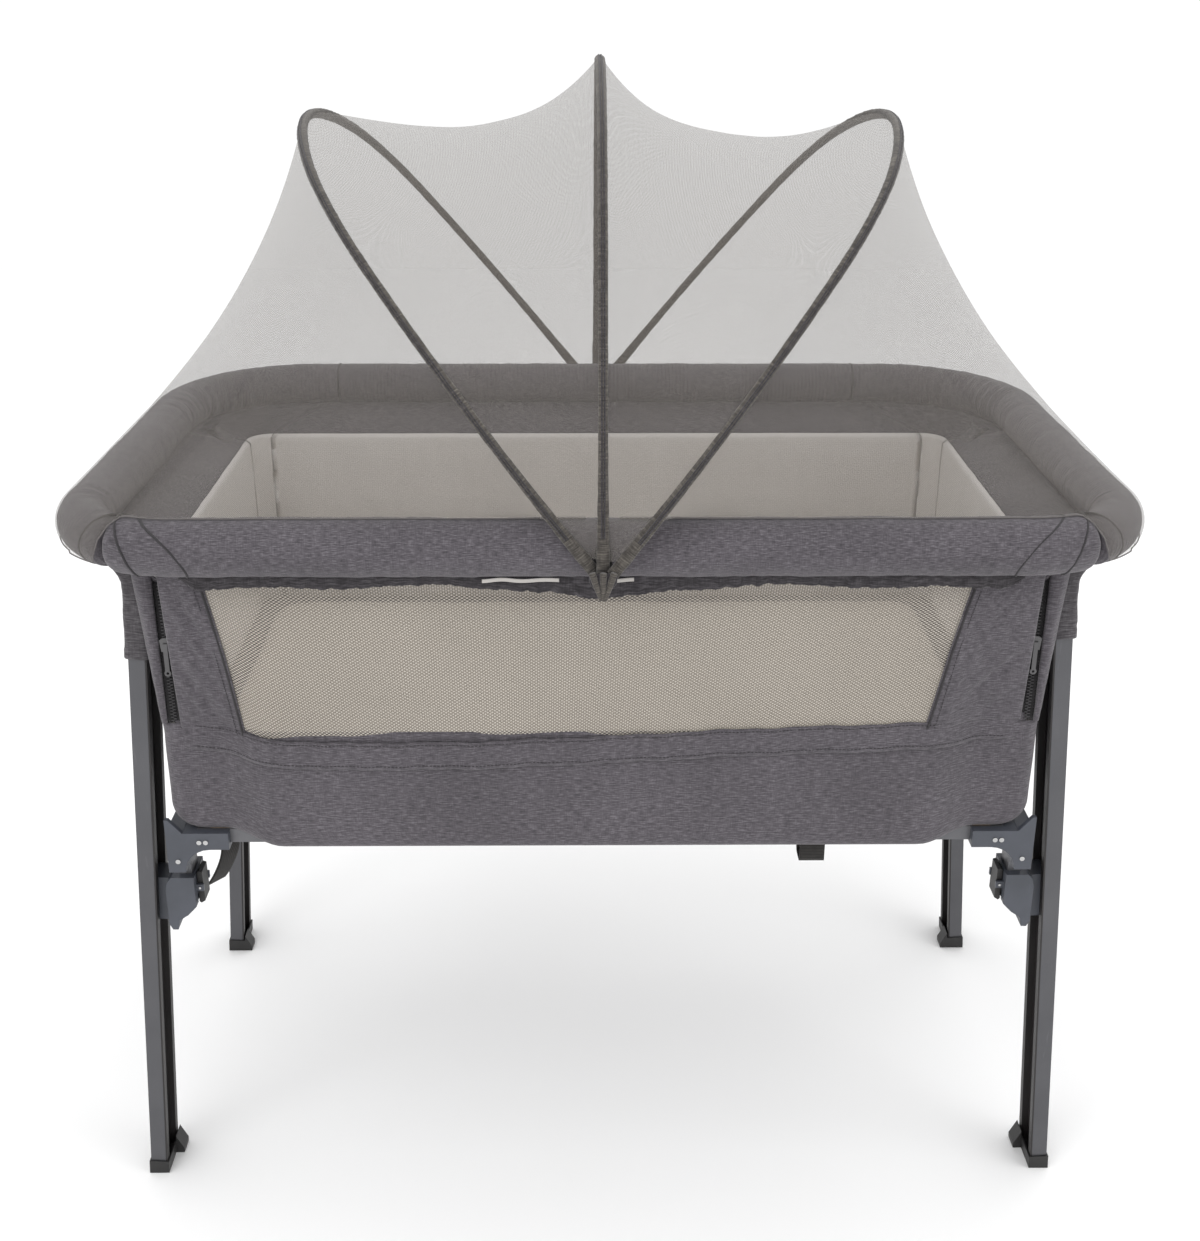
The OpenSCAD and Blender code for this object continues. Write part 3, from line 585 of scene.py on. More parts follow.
cover_r = np.full_like(S, PAD_R - 0.0004)
cover_r += gathers(rear_left - 0.03, rear_left_end + 0.05, 22, 0.0021, 3, 0.004)
cover_r += gathers(rear_right - 0.05, rear_right_end + 0.03, 22, 0.0021, 4, -0.004)
cover_r += gathers(left_bar - 0.02, rear_left, 16, 0.0008, 5, 0.012)
cover_r += gathers(rear_right_end, rear_right_end + 0.26, 14, 0.0009, 6, -0.010)
cover_r += gathers(0.01, arc_front, 9, 0.0016, 7)
cover_r += gathers(fixed_length - arc_front, fixed_length - 0.01, 9, 0.0016, 8)
diagonal = np.sin(2 * pi * (S / 0.0085 - 1.1 * PHI / pi * 2))
diagonal *= smoothstep(left_bar - 0.02, left_bar + 0.03, S)
cover_r += 0.00022 * diagonal * (1 - smoothstep(rear_left - 0.02, rear_left + 0.03, S))
field = np.stack([S, 0.02 * np.cos(PHI), 0.02 * np.sin(PHI)], 2)
cover_r += 0.0006 * ripple(field, 0.085, 11) + 0.0002 * ripple(field, 0.02, 12)
end_gap = np.minimum(S, fixed_length - S)
cover_r *= 1 - 0.30 * np.exp(-((end_gap / 0.0035) ** 2))
fixed_pad = tube_object(
    "rim_pad_fixed", rim_ring(fixed_line, level_normals(fixed_line, 1), cover_r), mat_rim
)
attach(fixed_pad, "root")
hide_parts("rim_cover")

bar_line, bar_s = resampled(
    np.concatenate([
        arc(-(HALF_X - FRONT_R), -(HALF_Y - FRONT_R), FRONT_R, 1.5 * pi - BAR_END, 1.5 * pi, 30),
        arc(HALF_X - FRONT_R, -(HALF_Y - FRONT_R), FRONT_R, -pi / 2, -pi / 2 + BAR_END, 30),
    ]),
    0.0028,
)
bar_length = bar_s[-1]
S, PHI = np.meshgrid(bar_s, phi, indexing="ij")
bar_r = np.full_like(S, BAR_R - 0.0004)
bar_r += 0.7 * gathers(0.03, bar_length - 0.03, 34, 0.0007, 21)
bar_r += gathers(0.004, 0.06, 8, 0.0016, 22)
bar_r += gathers(bar_length - 0.06, bar_length - 0.004, 8, 0.0016, 23)
field = np.stack([S, 0.02 * np.cos(PHI), 0.02 * np.sin(PHI)], 2)
bar_r += 0.0006 * ripple(field, 0.10, 24) + 0.0003 * ripple(field * [1, 2, 2], 0.03, 25)
lower_pull = np.exp(-(((PHI - 1.5 * pi) / 0.45) ** 2))
bar_r -= 0.0008 * lower_pull * (0.5 + 0.5 * np.sin(2 * pi * S / 0.021 + 3 * np.sin(S * 47)))
end_gap = np.minimum(S, bar_length - S)
bar_r *= 1 - 0.32 * np.exp(-((end_gap / 0.004) ** 2))
bar_pad = tube_object(
    "drop_bar_pad", rim_ring(bar_line, level_normals(bar_line, -1), bar_r), mat_bar
)
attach(bar_pad, "side_bar")
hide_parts("front_bar_cover")


def seam_ring(name, line, normals, at, radius, body, thick=0.0011, lean=0.0):
    """Dark sewn seam that goes round a pad at one place along it."""
    a = np.arange(48) * 2 * pi / 48
    ring = []
    for angle in a:
        k = float(np.clip(at + lean * math.cos(angle) - lean * math.sin(angle), 0, len(line) - 1))
        low, part = min(int(k), len(line) - 2), k - min(int(k), len(line) - 2)
        centre = line[low] * (1 - part) + line[low + 1] * part
        out = np.array([*normals[low], 0.0]) * math.cos(angle) + np.array([0, 0, math.sin(angle)])
        ring.append(np.array([*centre, RIM_Z]) + out * radius)
    path = np.array(ring)
    centre = path.mean(0)
    outward = path - centre
    outward /= np.linalg.norm(outward, axis=1, keepdims=True)
    along = np.roll(path, -1, 0) - np.roll(path, 1, 0)
    along /= np.linalg.norm(along, axis=1, keepdims=True)
    across = np.cross(outward, along)
    b = np.arange(8) * 2 * pi / 8
    tube = (
        path[:, None]
        + outward[:, None] * (thick * np.cos(b))[None, :, None]
        + across[:, None] * (thick * np.sin(b))[None, :, None]
    )
    tube = np.concatenate([tube, tube[:1]], 0)
    obj = tube_object(name, tube, mat_piping, caps=False)
    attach(obj, body)
    return obj


fixed_n, bar_n = level_normals(fixed_line, 1), level_normals(bar_line, -1)
for name, line, normals, at, r, body, lean in (
    ("pad_seam_bar_left", bar_line, bar_n, 5, BAR_R - 0.0006, "side_bar", 3),
    ("pad_seam_bar_right", bar_line, bar_n, len(bar_line) - 6, BAR_R - 0.0006, "side_bar", -3),
    ("pad_seam_fold_left", bar_line, bar_n, 15, BAR_R - 0.0007, "side_bar", 6),
    ("pad_seam_fold_right", bar_line, bar_n, len(bar_line) - 16, BAR_R - 0.0007, "side_bar", -6),
    ("pad_seam_rim_left", fixed_line, fixed_n, 4, PAD_R - 0.0006, "root", 2),
    ("pad_seam_rim_right", fixed_line, fixed_n, len(fixed_line) - 5, PAD_R - 0.0006, "root", -2),
    ("pad_seam_rear_left", fixed_line, fixed_n, int(rear_left_end / 0.0028) + 8, PAD_R - 0.0008, "root", 0),
    ("pad_seam_rear_right", fixed_line, fixed_n, int(rear_right / 0.0028) - 8, PAD_R - 0.0008, "root", 0),
):
    seam_ring(name, line, normals, at, r, body, lean=lean)


def swell(obj, cap, low, high, voxel=0.007, frames=18):
    """Cloth simulation that fills a closed pad out, applied to its mesh.

    All of the cloth's moves are scaled alike, so that none is over the cap and the crown keeps its shape.
    """
    remesh = obj.modifiers.new("even", "REMESH")
    remesh.mode, remesh.voxel_size, remesh.use_smooth_shade = "VOXEL", voxel, True
    applied(obj)
    start = mesh_points(obj.data)
    cloth = obj.modifiers.new("cloth", "CLOTH")
    cloth.settings.quality = 4
    cloth.settings.use_pressure = True
    cloth.settings.uniform_pressure_force = 4.0
    cloth.settings.effector_weights.gravity = 0.0
    cloth.settings.tension_stiffness = cloth.settings.compression_stiffness = 12.0
    cloth.point_cache.frame_start, cloth.point_cache.frame_end = 1, frames
    for frame_number in range(1, frames + 1):
        bpy.context.scene.frame_set(frame_number)
    applied(obj)
    bpy.context.scene.frame_set(1)
    moved = mesh_points(obj.data) - start
    moved *= min(1, cap / max(float(np.linalg.norm(moved, axis=1).max()), 1e-9))
    obj.data.vertices.foreach_set("co", np.clip(start + moved, low, high).astype(np.float32).ravel())
    smooth = obj.modifiers.new("smooth", "SUBSURF")
    smooth.levels = smooth.render_levels = 1
    applied(obj)


def laid_on(obj, path):
    """Points moved to the nearest place on an object's surface."""
    mesh = obj.data
    tree = BVHTree.FromPolygons(mesh_points(mesh).tolist(), [list(p.vertices) for p in mesh.polygons])
    return np.array([tree.find_nearest(p)[0] for p in path.tolist()])


def mesh_points(mesh):
    out = np.zeros(len(mesh.vertices) * 3, np.float32)
    mesh.vertices.foreach_get("co", out)
    return out.reshape(-1, 3).astype(float)


def applied(obj):
    """Puts the result of an object's modifiers into its mesh and takes them off."""
    graph = bpy.context.evaluated_depsgraph_get()
    graph.update()
    result = bpy.data.meshes.new_from_object(obj.evaluated_get(graph))
    obj.modifiers.clear()
    old, obj.data = obj.data, result
    name = old.name
    bpy.data.meshes.remove(old)
    result.name = name


# ---- fabric tub ----


def wall_lines(count_front=16, count_side=60, count_rear=18, count_back=110):
    """The tub's plan at its walls and at the rim, point by point, from the front left round."""
    foot_r, rear_r = 0.012, 0.024
    top_x, top_y, top_front, top_rear = 0.4402, 0.2662, 0.0852, 0.1252
    front_y = -TUB_Y + 0.0035
    end = math.radians(-57.6)
    low = np.concatenate([
        np.stack([np.full(6, 0.374) + np.linspace(0, TUB_X - foot_r - 0.374, 6), np.full(6, front_y)], 1)
        * [-1, 1],
        arc(-(TUB_X - foot_r), front_y + foot_r, foot_r, 1.5 * pi, pi, count_front - 6),
        np.stack([np.full(count_side, -TUB_X),
                  np.linspace(front_y + foot_r, TUB_Y - rear_r, count_side)], 1),
        arc(-(TUB_X - rear_r), TUB_Y - rear_r, rear_r, pi, pi / 2, count_rear),
        np.stack([np.linspace(-(TUB_X - rear_r), 0, count_back // 2), np.full(count_back // 2, TUB_Y)], 1),
    ])
    high = np.concatenate([
        arc(-(HALF_X - FRONT_R), -(HALF_Y - FRONT_R), top_front, pi - end, pi, count_front),
        np.stack([np.full(count_side, -top_x),
                  np.linspace(-(HALF_Y - FRONT_R), HALF_Y - REAR_R, count_side)], 1),
        arc(-(HALF_X - REAR_R), HALF_Y - REAR_R, top_rear, pi, pi / 2, count_rear),
        np.stack([np.linspace(-(HALF_X - REAR_R), 0, count_back // 2), np.full(count_back // 2, top_y)], 1),
    ])
    return [np.concatenate([half, (half * [-1, 1])[::-1][1:]]) for half in (low, high)]


wall_low, wall_high = wall_lines()
wall_n = level_normals(wall_low, 1)
z_rows = np.concatenate([np.linspace(BAND_TOP + 0.0004, FLARE_LOW, 26),
                         np.linspace(FLARE_LOW, 0.682, 9)[1:]])
wall = np.zeros((len(z_rows), len(wall_low), 3))
for i, z in enumerate(z_rows):
    t = smoothstep(FLARE_LOW - 0.004, 0.683, z) ** 0.8
    wall[i, :, :2] = wall_low * (1 - t) + wall_high * t
    wall[i, :, 2] = z
room = smoothstep(BAND_TOP, BAND_TOP + 0.03, z_rows) * (1 - smoothstep(FLARE_LOW - 0.03, FLARE_LOW, z_rows))
away = np.minimum(np.abs(wall_low[:, 1] + TUB_Y), 0.04) / 0.04
dent = -0.0016 * (0.6 + 0.4 * ripple(wall, 0.16, 31)) + 0.0007 * ripple(wall * [1, 1, 0.35], 0.05, 32)
wall[..., :2] += (dent * room[:, None] * away[None])[..., None] * wall_n[None]
pleat = 0.0009 * ripple(wall * [1, 1, 0.15], 0.03, 33) * smoothstep(FLARE_LOW - 0.01, 0.68, z_rows)[:, None]
wall[..., :2] += (pleat - 0.0006)[..., None] * wall_n[None]
walls = shell_object("tub_wall_fabric", wall[:, ::-1], 0.0012, mat_fabric)
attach(walls, "root")
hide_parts("back_panel", "end_panel_left", "end_panel_right")

inner = wall[:, ::-1].copy()
keep_rows = z_rows < FLARE_LOW + 0.0035
inner = inner[keep_rows]
foot = inner[:1].repeat(8, 0)
foot[:, :, 2] = np.linspace(0.4535, BAND_TOP - 0.004, 8)[:, None]
foot[..., :2] = wall_low[::-1][None]
inner = np.concatenate([foot, inner])
lining_in = np.full(len(inner), 0.0030)
inner[..., :2] -= (level_normals(wall_low, 1)[::-1][None] * lining_in[:, None, None])
inner[..., :2] -= (0.0006 + 0.0006 * ripple(inner * [1, 1, 0.4], 0.06, 35))[..., None] * wall_n[::-1][None]
lining = shell_object("tub_lining_walls", inner[:, 5:-5], 0.0008, mat_lining)
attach(lining, "root")


def plan_ring(half_x, half_y, r, count_x=120, count_y=70, corner=10):
    """A closed rounded rectangle seen from above, starting at the front left."""
    parts = []
    for cx, cy, a in ((-1, -1, pi), (1, -1, 1.5 * pi), (1, 1, 0), (-1, 1, pi / 2)):
        parts.append(arc(cx * (half_x - r), cy * (half_y - r), r, a, a + pi / 2, corner))
        nx, ny = {(-1, -1): (1, -1), (1, -1): (1, 1), (1, 1): (-1, 1), (-1, 1): (-1, -1)}[(cx, cy)]
        n = count_x if cy == ny else count_y
        start = parts[-1][-1]
        stop = np.array([nx * (half_x - r), cy * half_y]) if cy == ny else np.array(
            [cx * half_x, ny * (half_y - r)])
        parts.append(start + (stop - start) * np.linspace(0, 1, n + 2)[1:-1, None])
    return np.concatenate(parts)


FRONT_BULGE = 0.021


def bulge(x, z):
    """How far the cot's front stands out past its frame, between the two gussets."""
    inside = 1 - smoothstep(0.290, 0.345, np.abs(x))
    return FRONT_BULGE * inside * (1 - np.clip((z - BAND_TOP) / 0.16, 0, 1))


corner_r = 0.026
band_rows = np.concatenate([BAND_LOW + corner_r * (1 - np.cos(np.linspace(0.12, pi / 2, 9))),
                            np.linspace(BAND_LOW + corner_r, BAND_TOP, 22)[1:]])
band = []
for z in band_rows:
    rise = min(max(BAND_LOW + corner_r - z, 0), corner_r)
    pull_x = corner_r - math.sqrt(max(corner_r**2 - rise**2, 0))
    rise_y = max(0.009 - (z - BAND_LOW), 0)
    pull_y = 0.009 - math.sqrt(max(0.009**2 - rise_y**2, 0))
    ring = plan_ring(TUB_X - pull_x - 0.0002, TUB_Y - pull_y - 0.0002, 0.016)
    band.append(np.concatenate([ring, np.full((len(ring), 1), z)], 1))
band = np.array(band)
under = [band[0].copy() for _ in range(5)]
for k, row in enumerate(under):
    row[:, :2] *= 1 - 0.225 * (5 - k)
    row[:, 2] = BAND_LOW + 0.0001
    if k == 0:
        row[:, :2] *= 0.0
lip = [band[0] + (band[1] - band[0]) * k / 4 for k in (1, 2, 3)]
band = np.concatenate([np.array(under[1:]), band[:1], np.array(lip), band[1:]])
ring_n = np.zeros_like(band)
closed_rings = [np.concatenate([r[-1:], r, r[:1]]) for r in band[..., :2]]
ring_n[..., :2] = np.stack([level_normals(r, -1)[1:-1] for r in closed_rings])
body = smoothstep(BAND_LOW + 0.012, BAND_LOW + 0.03, band[..., 2]) * (
    1 - smoothstep(BAND_TOP - 0.018, BAND_TOP - 0.003, band[..., 2]))
front = np.exp(-((band[..., 1] + TUB_Y) / 0.02) ** 2)
folds = creases(
    band[..., 0], band[..., 2],
    [(-0.392, 0.43, -0.33, 0.437, 0.003, 0.0014), (-0.385, 0.505, -0.36, 0.43, 0.0028, 0.0010),
     (-0.15, 0.515, -0.162, 0.43, 0.004, 0.0012), (-0.118, 0.51, -0.125, 0.44, 0.0035, 0.0009),
     (0.012, 0.515, -0.004, 0.45, 0.005, 0.0013), (0.060, 0.512, 0.028, 0.43, 0.005, 0.0018),
     (0.105, 0.515, 0.082, 0.425, 0.0055, 0.0020), (0.132, 0.50, 0.126, 0.44, 0.004, 0.0012),
     (0.175, 0.51, 0.158, 0.44, 0.005, 0.0014), (0.235, 0.515, 0.232, 0.46, 0.004, 0.0010),
     (0.300, 0.515, 0.318, 0.44, 0.004, 0.0012), (0.345, 0.52, 0.372, 0.46, 0.004, 0.0011),
     (0.385, 0.50, 0.36, 0.43, 0.0032, 0.0012)],
)
soft = -0.0012 * (0.55 + 0.45 * ripple(band, 0.12, 41)) + 0.0005 * ripple(band * [1, 1, 0.4], 0.035, 42)
band += ring_n * ((soft + folds * front) * body)[..., None]
front_part = np.where(band[..., 1] < 0, bulge(band[..., 0], BAND_LOW) / FRONT_BULGE, 0)
lip_rows = (
    (5, -TUB_Y + 0.0018, BAND_LOW + 0.0001),
    (6, -TUB_Y + 0.0008, 0.4035),
    (7, -TUB_Y - 0.010, 0.4005),
)
for k, y, z in lip_rows:
    band[k, :, 1] += (y - band[k, :, 1]) * front_part[k]
    band[k, :, 2] += (z - band[k, :, 2]) * front_part[k]
FACE_ROW = 8  # the rows before it are the band's bottom and its lip
upright = 1 - 0.12 * ((band[FACE_ROW:, :, 2] - 0.47) / 0.05) ** 2
band[FACE_ROW:, :, 1] -= FRONT_BULGE * front_part[FACE_ROW:] * upright
near_foot = 1 - smoothstep(BAND_LOW + 0.004, BAND_LOW + 0.05, band[FACE_ROW:, :, 2])
band[FACE_ROW:, :, 2] -= 0.0100 * front_part[FACE_ROW:] * near_foot
band_cloth = shell_object("tub_band_fabric", band, 0.0011, mat_fabric, wrap=True)
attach(band_cloth, "root")
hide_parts("lower_band")

hem_x = np.linspace(-0.381, 0.381, 160)


def hem_height(x):
    """Upper edge of the band's folded hem across the front."""
    knots_x = [-0.395, -0.35, -0.31, -0.24, -0.12, 0.0, 0.12, 0.22, 0.30, 0.36, 0.395]
    knots_z = [0.5235, 0.5205, 0.5150, 0.5105, 0.5110, 0.5165, 0.5235, 0.5270, 0.5300, 0.5290, 0.5275]
    return np.interp(x, knots_x, knots_z) + 0.0006 * np.sin(x * 75) + 0.0004 * np.sin(x * 190 + 1)


hem_t = np.linspace(0, 1, 12)
hem = np.zeros((12, len(hem_x), 3))
hem[..., 0] = hem_x
hem[..., 2] = hem_height(hem_x)[None] - 0.0265 * (1 - hem_t[:, None])
hem[..., 1] = -TUB_Y - 0.0010 - 0.0005 * np.sin(pi * hem_t)[:, None]
hem[..., 1] += 0.0004 * ripple(hem, 0.03, 44) * np.sin(pi * hem_t)[:, None]
hem[..., 1] += 0.0035 * smoothstep(0.366, 0.381, np.abs(hem_x))[None]
hem[..., 1] -= bulge(hem[..., 0], BAND_TOP)
hem_strip = shell_object("band_hem_front", hem, 0.0010, mat_fabric)
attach(hem_strip, "root")


TO_FRONT = np.array([0, -1.0, 0])


def stitch_row(name, path, body, pitch=0.0034, length=0.0024, r=0.00028):
    """A line of separate raised thread stitches along a path on cloth that faces the front."""
    line, _ = resampled(path, pitch)
    points, faces, uvs = [], [], []
    for k in range(len(line) - 1):
        d = line[k + 1] - line[k]
        size = np.linalg.norm(d)
        if size < 1e-6:
            continue
        d /= size
        n = TO_FRONT
        side = np.cross(d, n)
        ring = []
        for t, lift, thick in ((0, -0.2, 0.4), (0.2, 0.7, 1), (0.8, 0.7, 1), (1, -0.2, 0.4)):
            centre = line[k] + d * length * t + n * r * lift
            start = len(points)
            for a in range(5):
                q = 2 * pi * a / 5
                points.append(centre + (side * math.cos(q) + n * math.sin(q)) * r * thick * 1.3)
            ring.append(start)
        for a0, a1 in zip(ring, ring[1:]):
            for a in range(5):
                b = (a + 1) % 5
                faces.append([a0 + a, a0 + b, a1 + b, a1 + a])
                uvs += [(0, 0), (0.001, 0), (0.001, 0.002), (0, 0.002)]
    obj = make_object(name, np.array(points), faces, uvs, mat_piping)
    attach(obj, body)
    return obj


for name, drop in (("hem_stitch_upper", 0.0028), ("hem_stitch_lower", 0.0230)):
    x = np.linspace(-0.362, 0.362, 200)
    stitch_row(name, np.stack([x, -TUB_Y - 0.0018 - bulge(x, BAND_TOP), hem_height(x) - drop], 1), "root")

# ---- drop side: mesh window, its gussets and the zips ----


def front_y(x, z):
    return -(TUB_Y - 0.0004) - (z - BAND_TOP) * 0.168 - bulge(x, z)


def window_left(z):
    return np.interp(z, [0.505, 0.590, 0.684], [-0.3175, -0.3290, -0.3440])


def window_right(z):
    return np.interp(z, [0.520, 0.600, 0.684], [0.2870, 0.3035, 0.3230])


def panel_grid(left, right, low, high, cols, rows):
    """Points of the front between two side curves and two heights, given as functions."""
    grid = np.zeros((rows, cols, 3))
    u = np.linspace(0, 1, cols)
    for i, t in enumerate(np.linspace(0, 1, rows)):
        x = left(0.6) * (1 - u) + right(0.6) * u
        z = low(x) * (1 - t) + high * t
        x = left(z) * (1 - u) + right(z) * u
        grid[i] = np.stack([x, front_y(x, z), z], 1)
    return grid


def squashed(obj):
    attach(obj, "root")
    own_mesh(obj)
    return obj


window = panel_grid(window_left, window_right, lambda x: hem_height(x) - 0.006, 0.6815, 150, 40)
u, t = np.meshgrid(np.linspace(0, 1, 150), np.linspace(0, 1, 40))
slack = np.sin(pi * u) ** 0.5 * np.sin(pi * np.clip(t, 0, 1)) ** 0.7
window[..., 1] += 0.0045 * slack + 0.0011 * slack * ripple(window * [1, 1, 0.5], 0.11, 51)
puckers = np.sin(2 * pi * window[..., 0] / 0.043 + 2 * np.sin(window[..., 0] * 21))
window[..., 1] += 0.0012 * puckers * smoothstep(0.72, 1.0, t)
mesh_window = open_object("mesh_window", window, mat_mesh)
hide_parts("front_panel")
squashed(mesh_window)

gusset_folds = {
    "left": [(-0.352, 0.675, -0.322, 0.60, 0.0045, 0.0022), (-0.368, 0.665, -0.330, 0.565, 0.005, 0.0028),
             (-0.370, 0.630, -0.325, 0.535, 0.0045, 0.0024), (-0.372, 0.590, -0.335, 0.515, 0.004, 0.0020),
             (-0.345, 0.575, -0.352, 0.515, 0.004, 0.0014), (-0.372, 0.555, -0.345, 0.520, 0.003, 0.0014),
             (-0.345, 0.655, -0.360, 0.60, 0.0035, 0.0012)],
    "right": [(0.325, 0.675, 0.360, 0.600, 0.0045, 0.0022), (0.345, 0.675, 0.372, 0.630, 0.004, 0.0018),
              (0.310, 0.640, 0.350, 0.560, 0.005, 0.0026), (0.300, 0.600, 0.345, 0.530, 0.0045, 0.0024),
              (0.372, 0.600, 0.318, 0.545, 0.0045, 0.0020), (0.295, 0.565, 0.322, 0.525, 0.004, 0.0016),
              (0.372, 0.560, 0.335, 0.530, 0.0035, 0.0015), (0.360, 0.660, 0.335, 0.620, 0.0035, 0.0012)],
}
for side, left, right in (
    ("left", lambda z: np.full_like(z, -0.3750) if np.ndim(z) else -0.3750, lambda z: window_left(z) + 0.003),
    ("right", lambda z: window_right(z) - 0.003, lambda z: np.full_like(z, 0.3750) if np.ndim(z) else 0.3750),
):
    grid = panel_grid(left, right, lambda x: hem_height(x) - 0.006, 0.6815, 44, 90)
    u, t = np.meshgrid(np.linspace(0, 1, 44), np.linspace(0, 1, 90))
    body = np.sin(pi * np.clip(u, 0.0, 1)) ** 0.5 * np.sin(pi * np.clip(t * 0.94 + 0.03, 0, 1)) ** 0.6
    lift = 0.0030 * body + creases(grid[..., 0], grid[..., 2], gusset_folds[side]) * (0.25 + 0.75 * body)
    lift += 0.0008 * body * ripple(grid, 0.035, 52 if side == "left" else 53)
    grid[..., 1] -= lift + 0.0008
    cloth = shell_object("front_gusset_" + side, grid, 0.0010, mat_fabric)
    squashed(cloth)
    edge = window_left if side == "left" else window_right
    z = np.linspace(0.509 if side == "left" else 0.524, 0.680, 90)
    x = edge(z) + (0.0006 if side == "left" else -0.0006)
    path = np.stack([x, front_y(x, z) - 0.0022, z], 1)
    rings = swept(path, np.array([0, 1.0, 0]), 0.0012, 10)
    squashed(tube_object("window_piping_" + side, rings, mat_piping))
    x = edge(z) + (-0.0052 if side == "left" else 0.0052)
    line = stitch_row("window_stitch_" + side, np.stack([x, front_y(x, z) - 0.0031, z], 1), "root")
    squashed(line)


def teeth_parts(x0, y0, z0, z1, pitch=0.0030):
    """Two interlocked rows of moulded teeth up a zip."""
    points, faces, uvs = [], [], []
    z, k = z0, 0
    while z < z1:
        side = 1 if k % 2 else -1
        low = np.array([x0 - 0.0004 if side > 0 else x0 - 0.0027, y0 - 0.0009, z])
        high = low + [0.0031, 0.0011, 0.0013]
        start = len(points)
        c = 0.00028
        for yy, inset in ((low[1], c), (low[1] + c, 0.0), (high[1], 0.0)):
            for xx, zz in ((low[0] + inset, low[2] + inset), (high[0] - inset, low[2] + inset),
                           (high[0] - inset, high[2] - inset), (low[0] + inset, high[2] - inset)):
                points.append((xx, yy, zz))
        faces.append([start, start + 1, start + 2, start + 3])
        for level in (0, 4):
            for a in range(4):
                b = (a + 1) % 4
                low_a, low_b = start + level + a, start + level + b
                faces.append([low_b, low_a, low_a + 4, low_b + 4])
        faces.append([start + 11, start + 10, start + 9, start + 8])
        uvs += [(0, 0), (0.001, 0), (0.001, 0.001), (0, 0.001)] * 10
        z += pitch / 2
        k += 1
    return points, faces, uvs


for side, sx in (("left", -1), ("right", 1)):
    node = "zip_tape_" + side
    low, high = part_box(node)
    zs = np.linspace(low.z, high.z, 60)
    xs = np.linspace(low.x, high.x, 12)
    grid = np.zeros((60, 12, 3))
    grid[..., 0], grid[..., 2] = xs[None], zs[:, None]
    grid[..., 1] = (low.y + high.y) / 2 - 0.0003 * np.abs(np.linspace(-1, 1, 12))[None]
    grid[..., 1] += 0.0003 * ripple(grid, 0.03, 61)
    tape = shell_object("zip_tape_cloth_" + side, grid, 0.0007, mat_zip)
    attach(tape, "root")
    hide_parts(node)
    x0 = (low.x + high.x) / 2
    parts = teeth_parts(x0, low.y - 0.0001, low.z + 0.001, high.z - 0.002)
    teeth = make_object("zip_teeth_" + side, *parts, mat_teeth, smooth=False)
    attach(teeth, "root")
    for k, dx in enumerate((-0.0052, 0.0052)):
        z = np.linspace(low.z + 0.002, high.z - 0.002, 60)
        path = np.stack([np.full_like(z, x0 + dx), np.full_like(z, low.y - 0.0001), z], 1)
        stitch_row(f"zip_stitch_{side}_{k}", path, "root", 0.003, 0.0021, 0.00022)

flap_z = np.linspace(0.521, 0.672, 60)
flap = np.zeros((60, 14, 3))
flap_t = np.linspace(0, 1, 14)
flap_out = 0.3935 + 0.0135 * ((flap_z - 0.521) / 0.151)[:, None]
flap[..., 0] = 0.3868 + (flap_out - 0.3868) * flap_t[None]
flap[..., 2] = flap_z[:, None]
flap[..., 1] = (front_y(0.39, BAND_TOP) - 0.0012 - 0.0026 * np.sin(pi * flap_t)[None] ** 0.7
                + 0.0075 * flap_t[None] ** 3)
flap[..., 1] += 0.0007 * ripple(flap, 0.03, 63)
for side in ("left", "right"):
    grid = flap.copy()
    if side == "left":
        grid[..., 0] *= -1
        grid = grid[:, ::-1]
    cover = shell_object("zip_flap_" + side, grid, 0.0009, mat_fabric)
    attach(cover, "root")

# Tucks that close each front corner between the zip and the drop side
tuck_z = np.linspace(0.523, 0.6815, 60)
rise = smoothstep(0.650, 0.684, tuck_z)
wall_edge = np.stack([0.3754 + 0.0230 * rise, -0.2374 - 0.0150 * rise, tuck_z], 1)
panel_edge = np.stack([np.full(60, 0.3746), front_y(0.3746, tuck_z) + 0.0006, tuck_z], 1)
share = np.linspace(0, 1, 14)[None, :, None]
for side in ("left", "right"):
    grid = wall_edge[:, None] * (1 - share) + panel_edge[:, None] * share
    grid[..., 0] -= 0.0012 * np.sin(pi * share[..., 0]) * (1 + ripple(grid, 0.02, 64))
    if side == "right":
        grid = grid[:, ::-1]
    else:
        grid[..., 0] *= -1
    tuck = shell_object("corner_tuck_" + side, grid, 0.0007, mat_fabric)
    squashed(tuck)

# Crinkled skirt below the drop side's bar. It rides on the bar, and the canopy doesn't hang on it
x = np.linspace(-0.352, 0.352, 420)
t = np.linspace(0, 1, 14)[:, None]
hang = 0.0125 + 0.003 * np.sin(x * 31) * np.sin(x * 13) + 0.010 * np.exp(-((x / 0.035) ** 2))
hang *= smoothstep(0.352, 0.335, np.abs(x)) * 0.7 + 0.3
skirt = np.zeros((14, 420, 3))
skirt[..., 0] = x[None] + 0.0010 * t * np.sin(x * 260)[None]
skirt[..., 2] = 0.6795 - hang[None] * t
crinkle = ripple(np.stack([x, 0 * x, 0 * x], 1), 0.016, 71)[None] + 0.5 * ripple(skirt, 0.008, 72)
skirt[..., 1] = -0.2855 - 0.0012 * t + 0.0019 * t * crinkle
skirt[..., 2] += 0.0007 * t * crinkle
edge_skirt = shell_object("bar_skirt", skirt, 0.0009, mat_darkhem)
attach(edge_skirt, "side_bar")
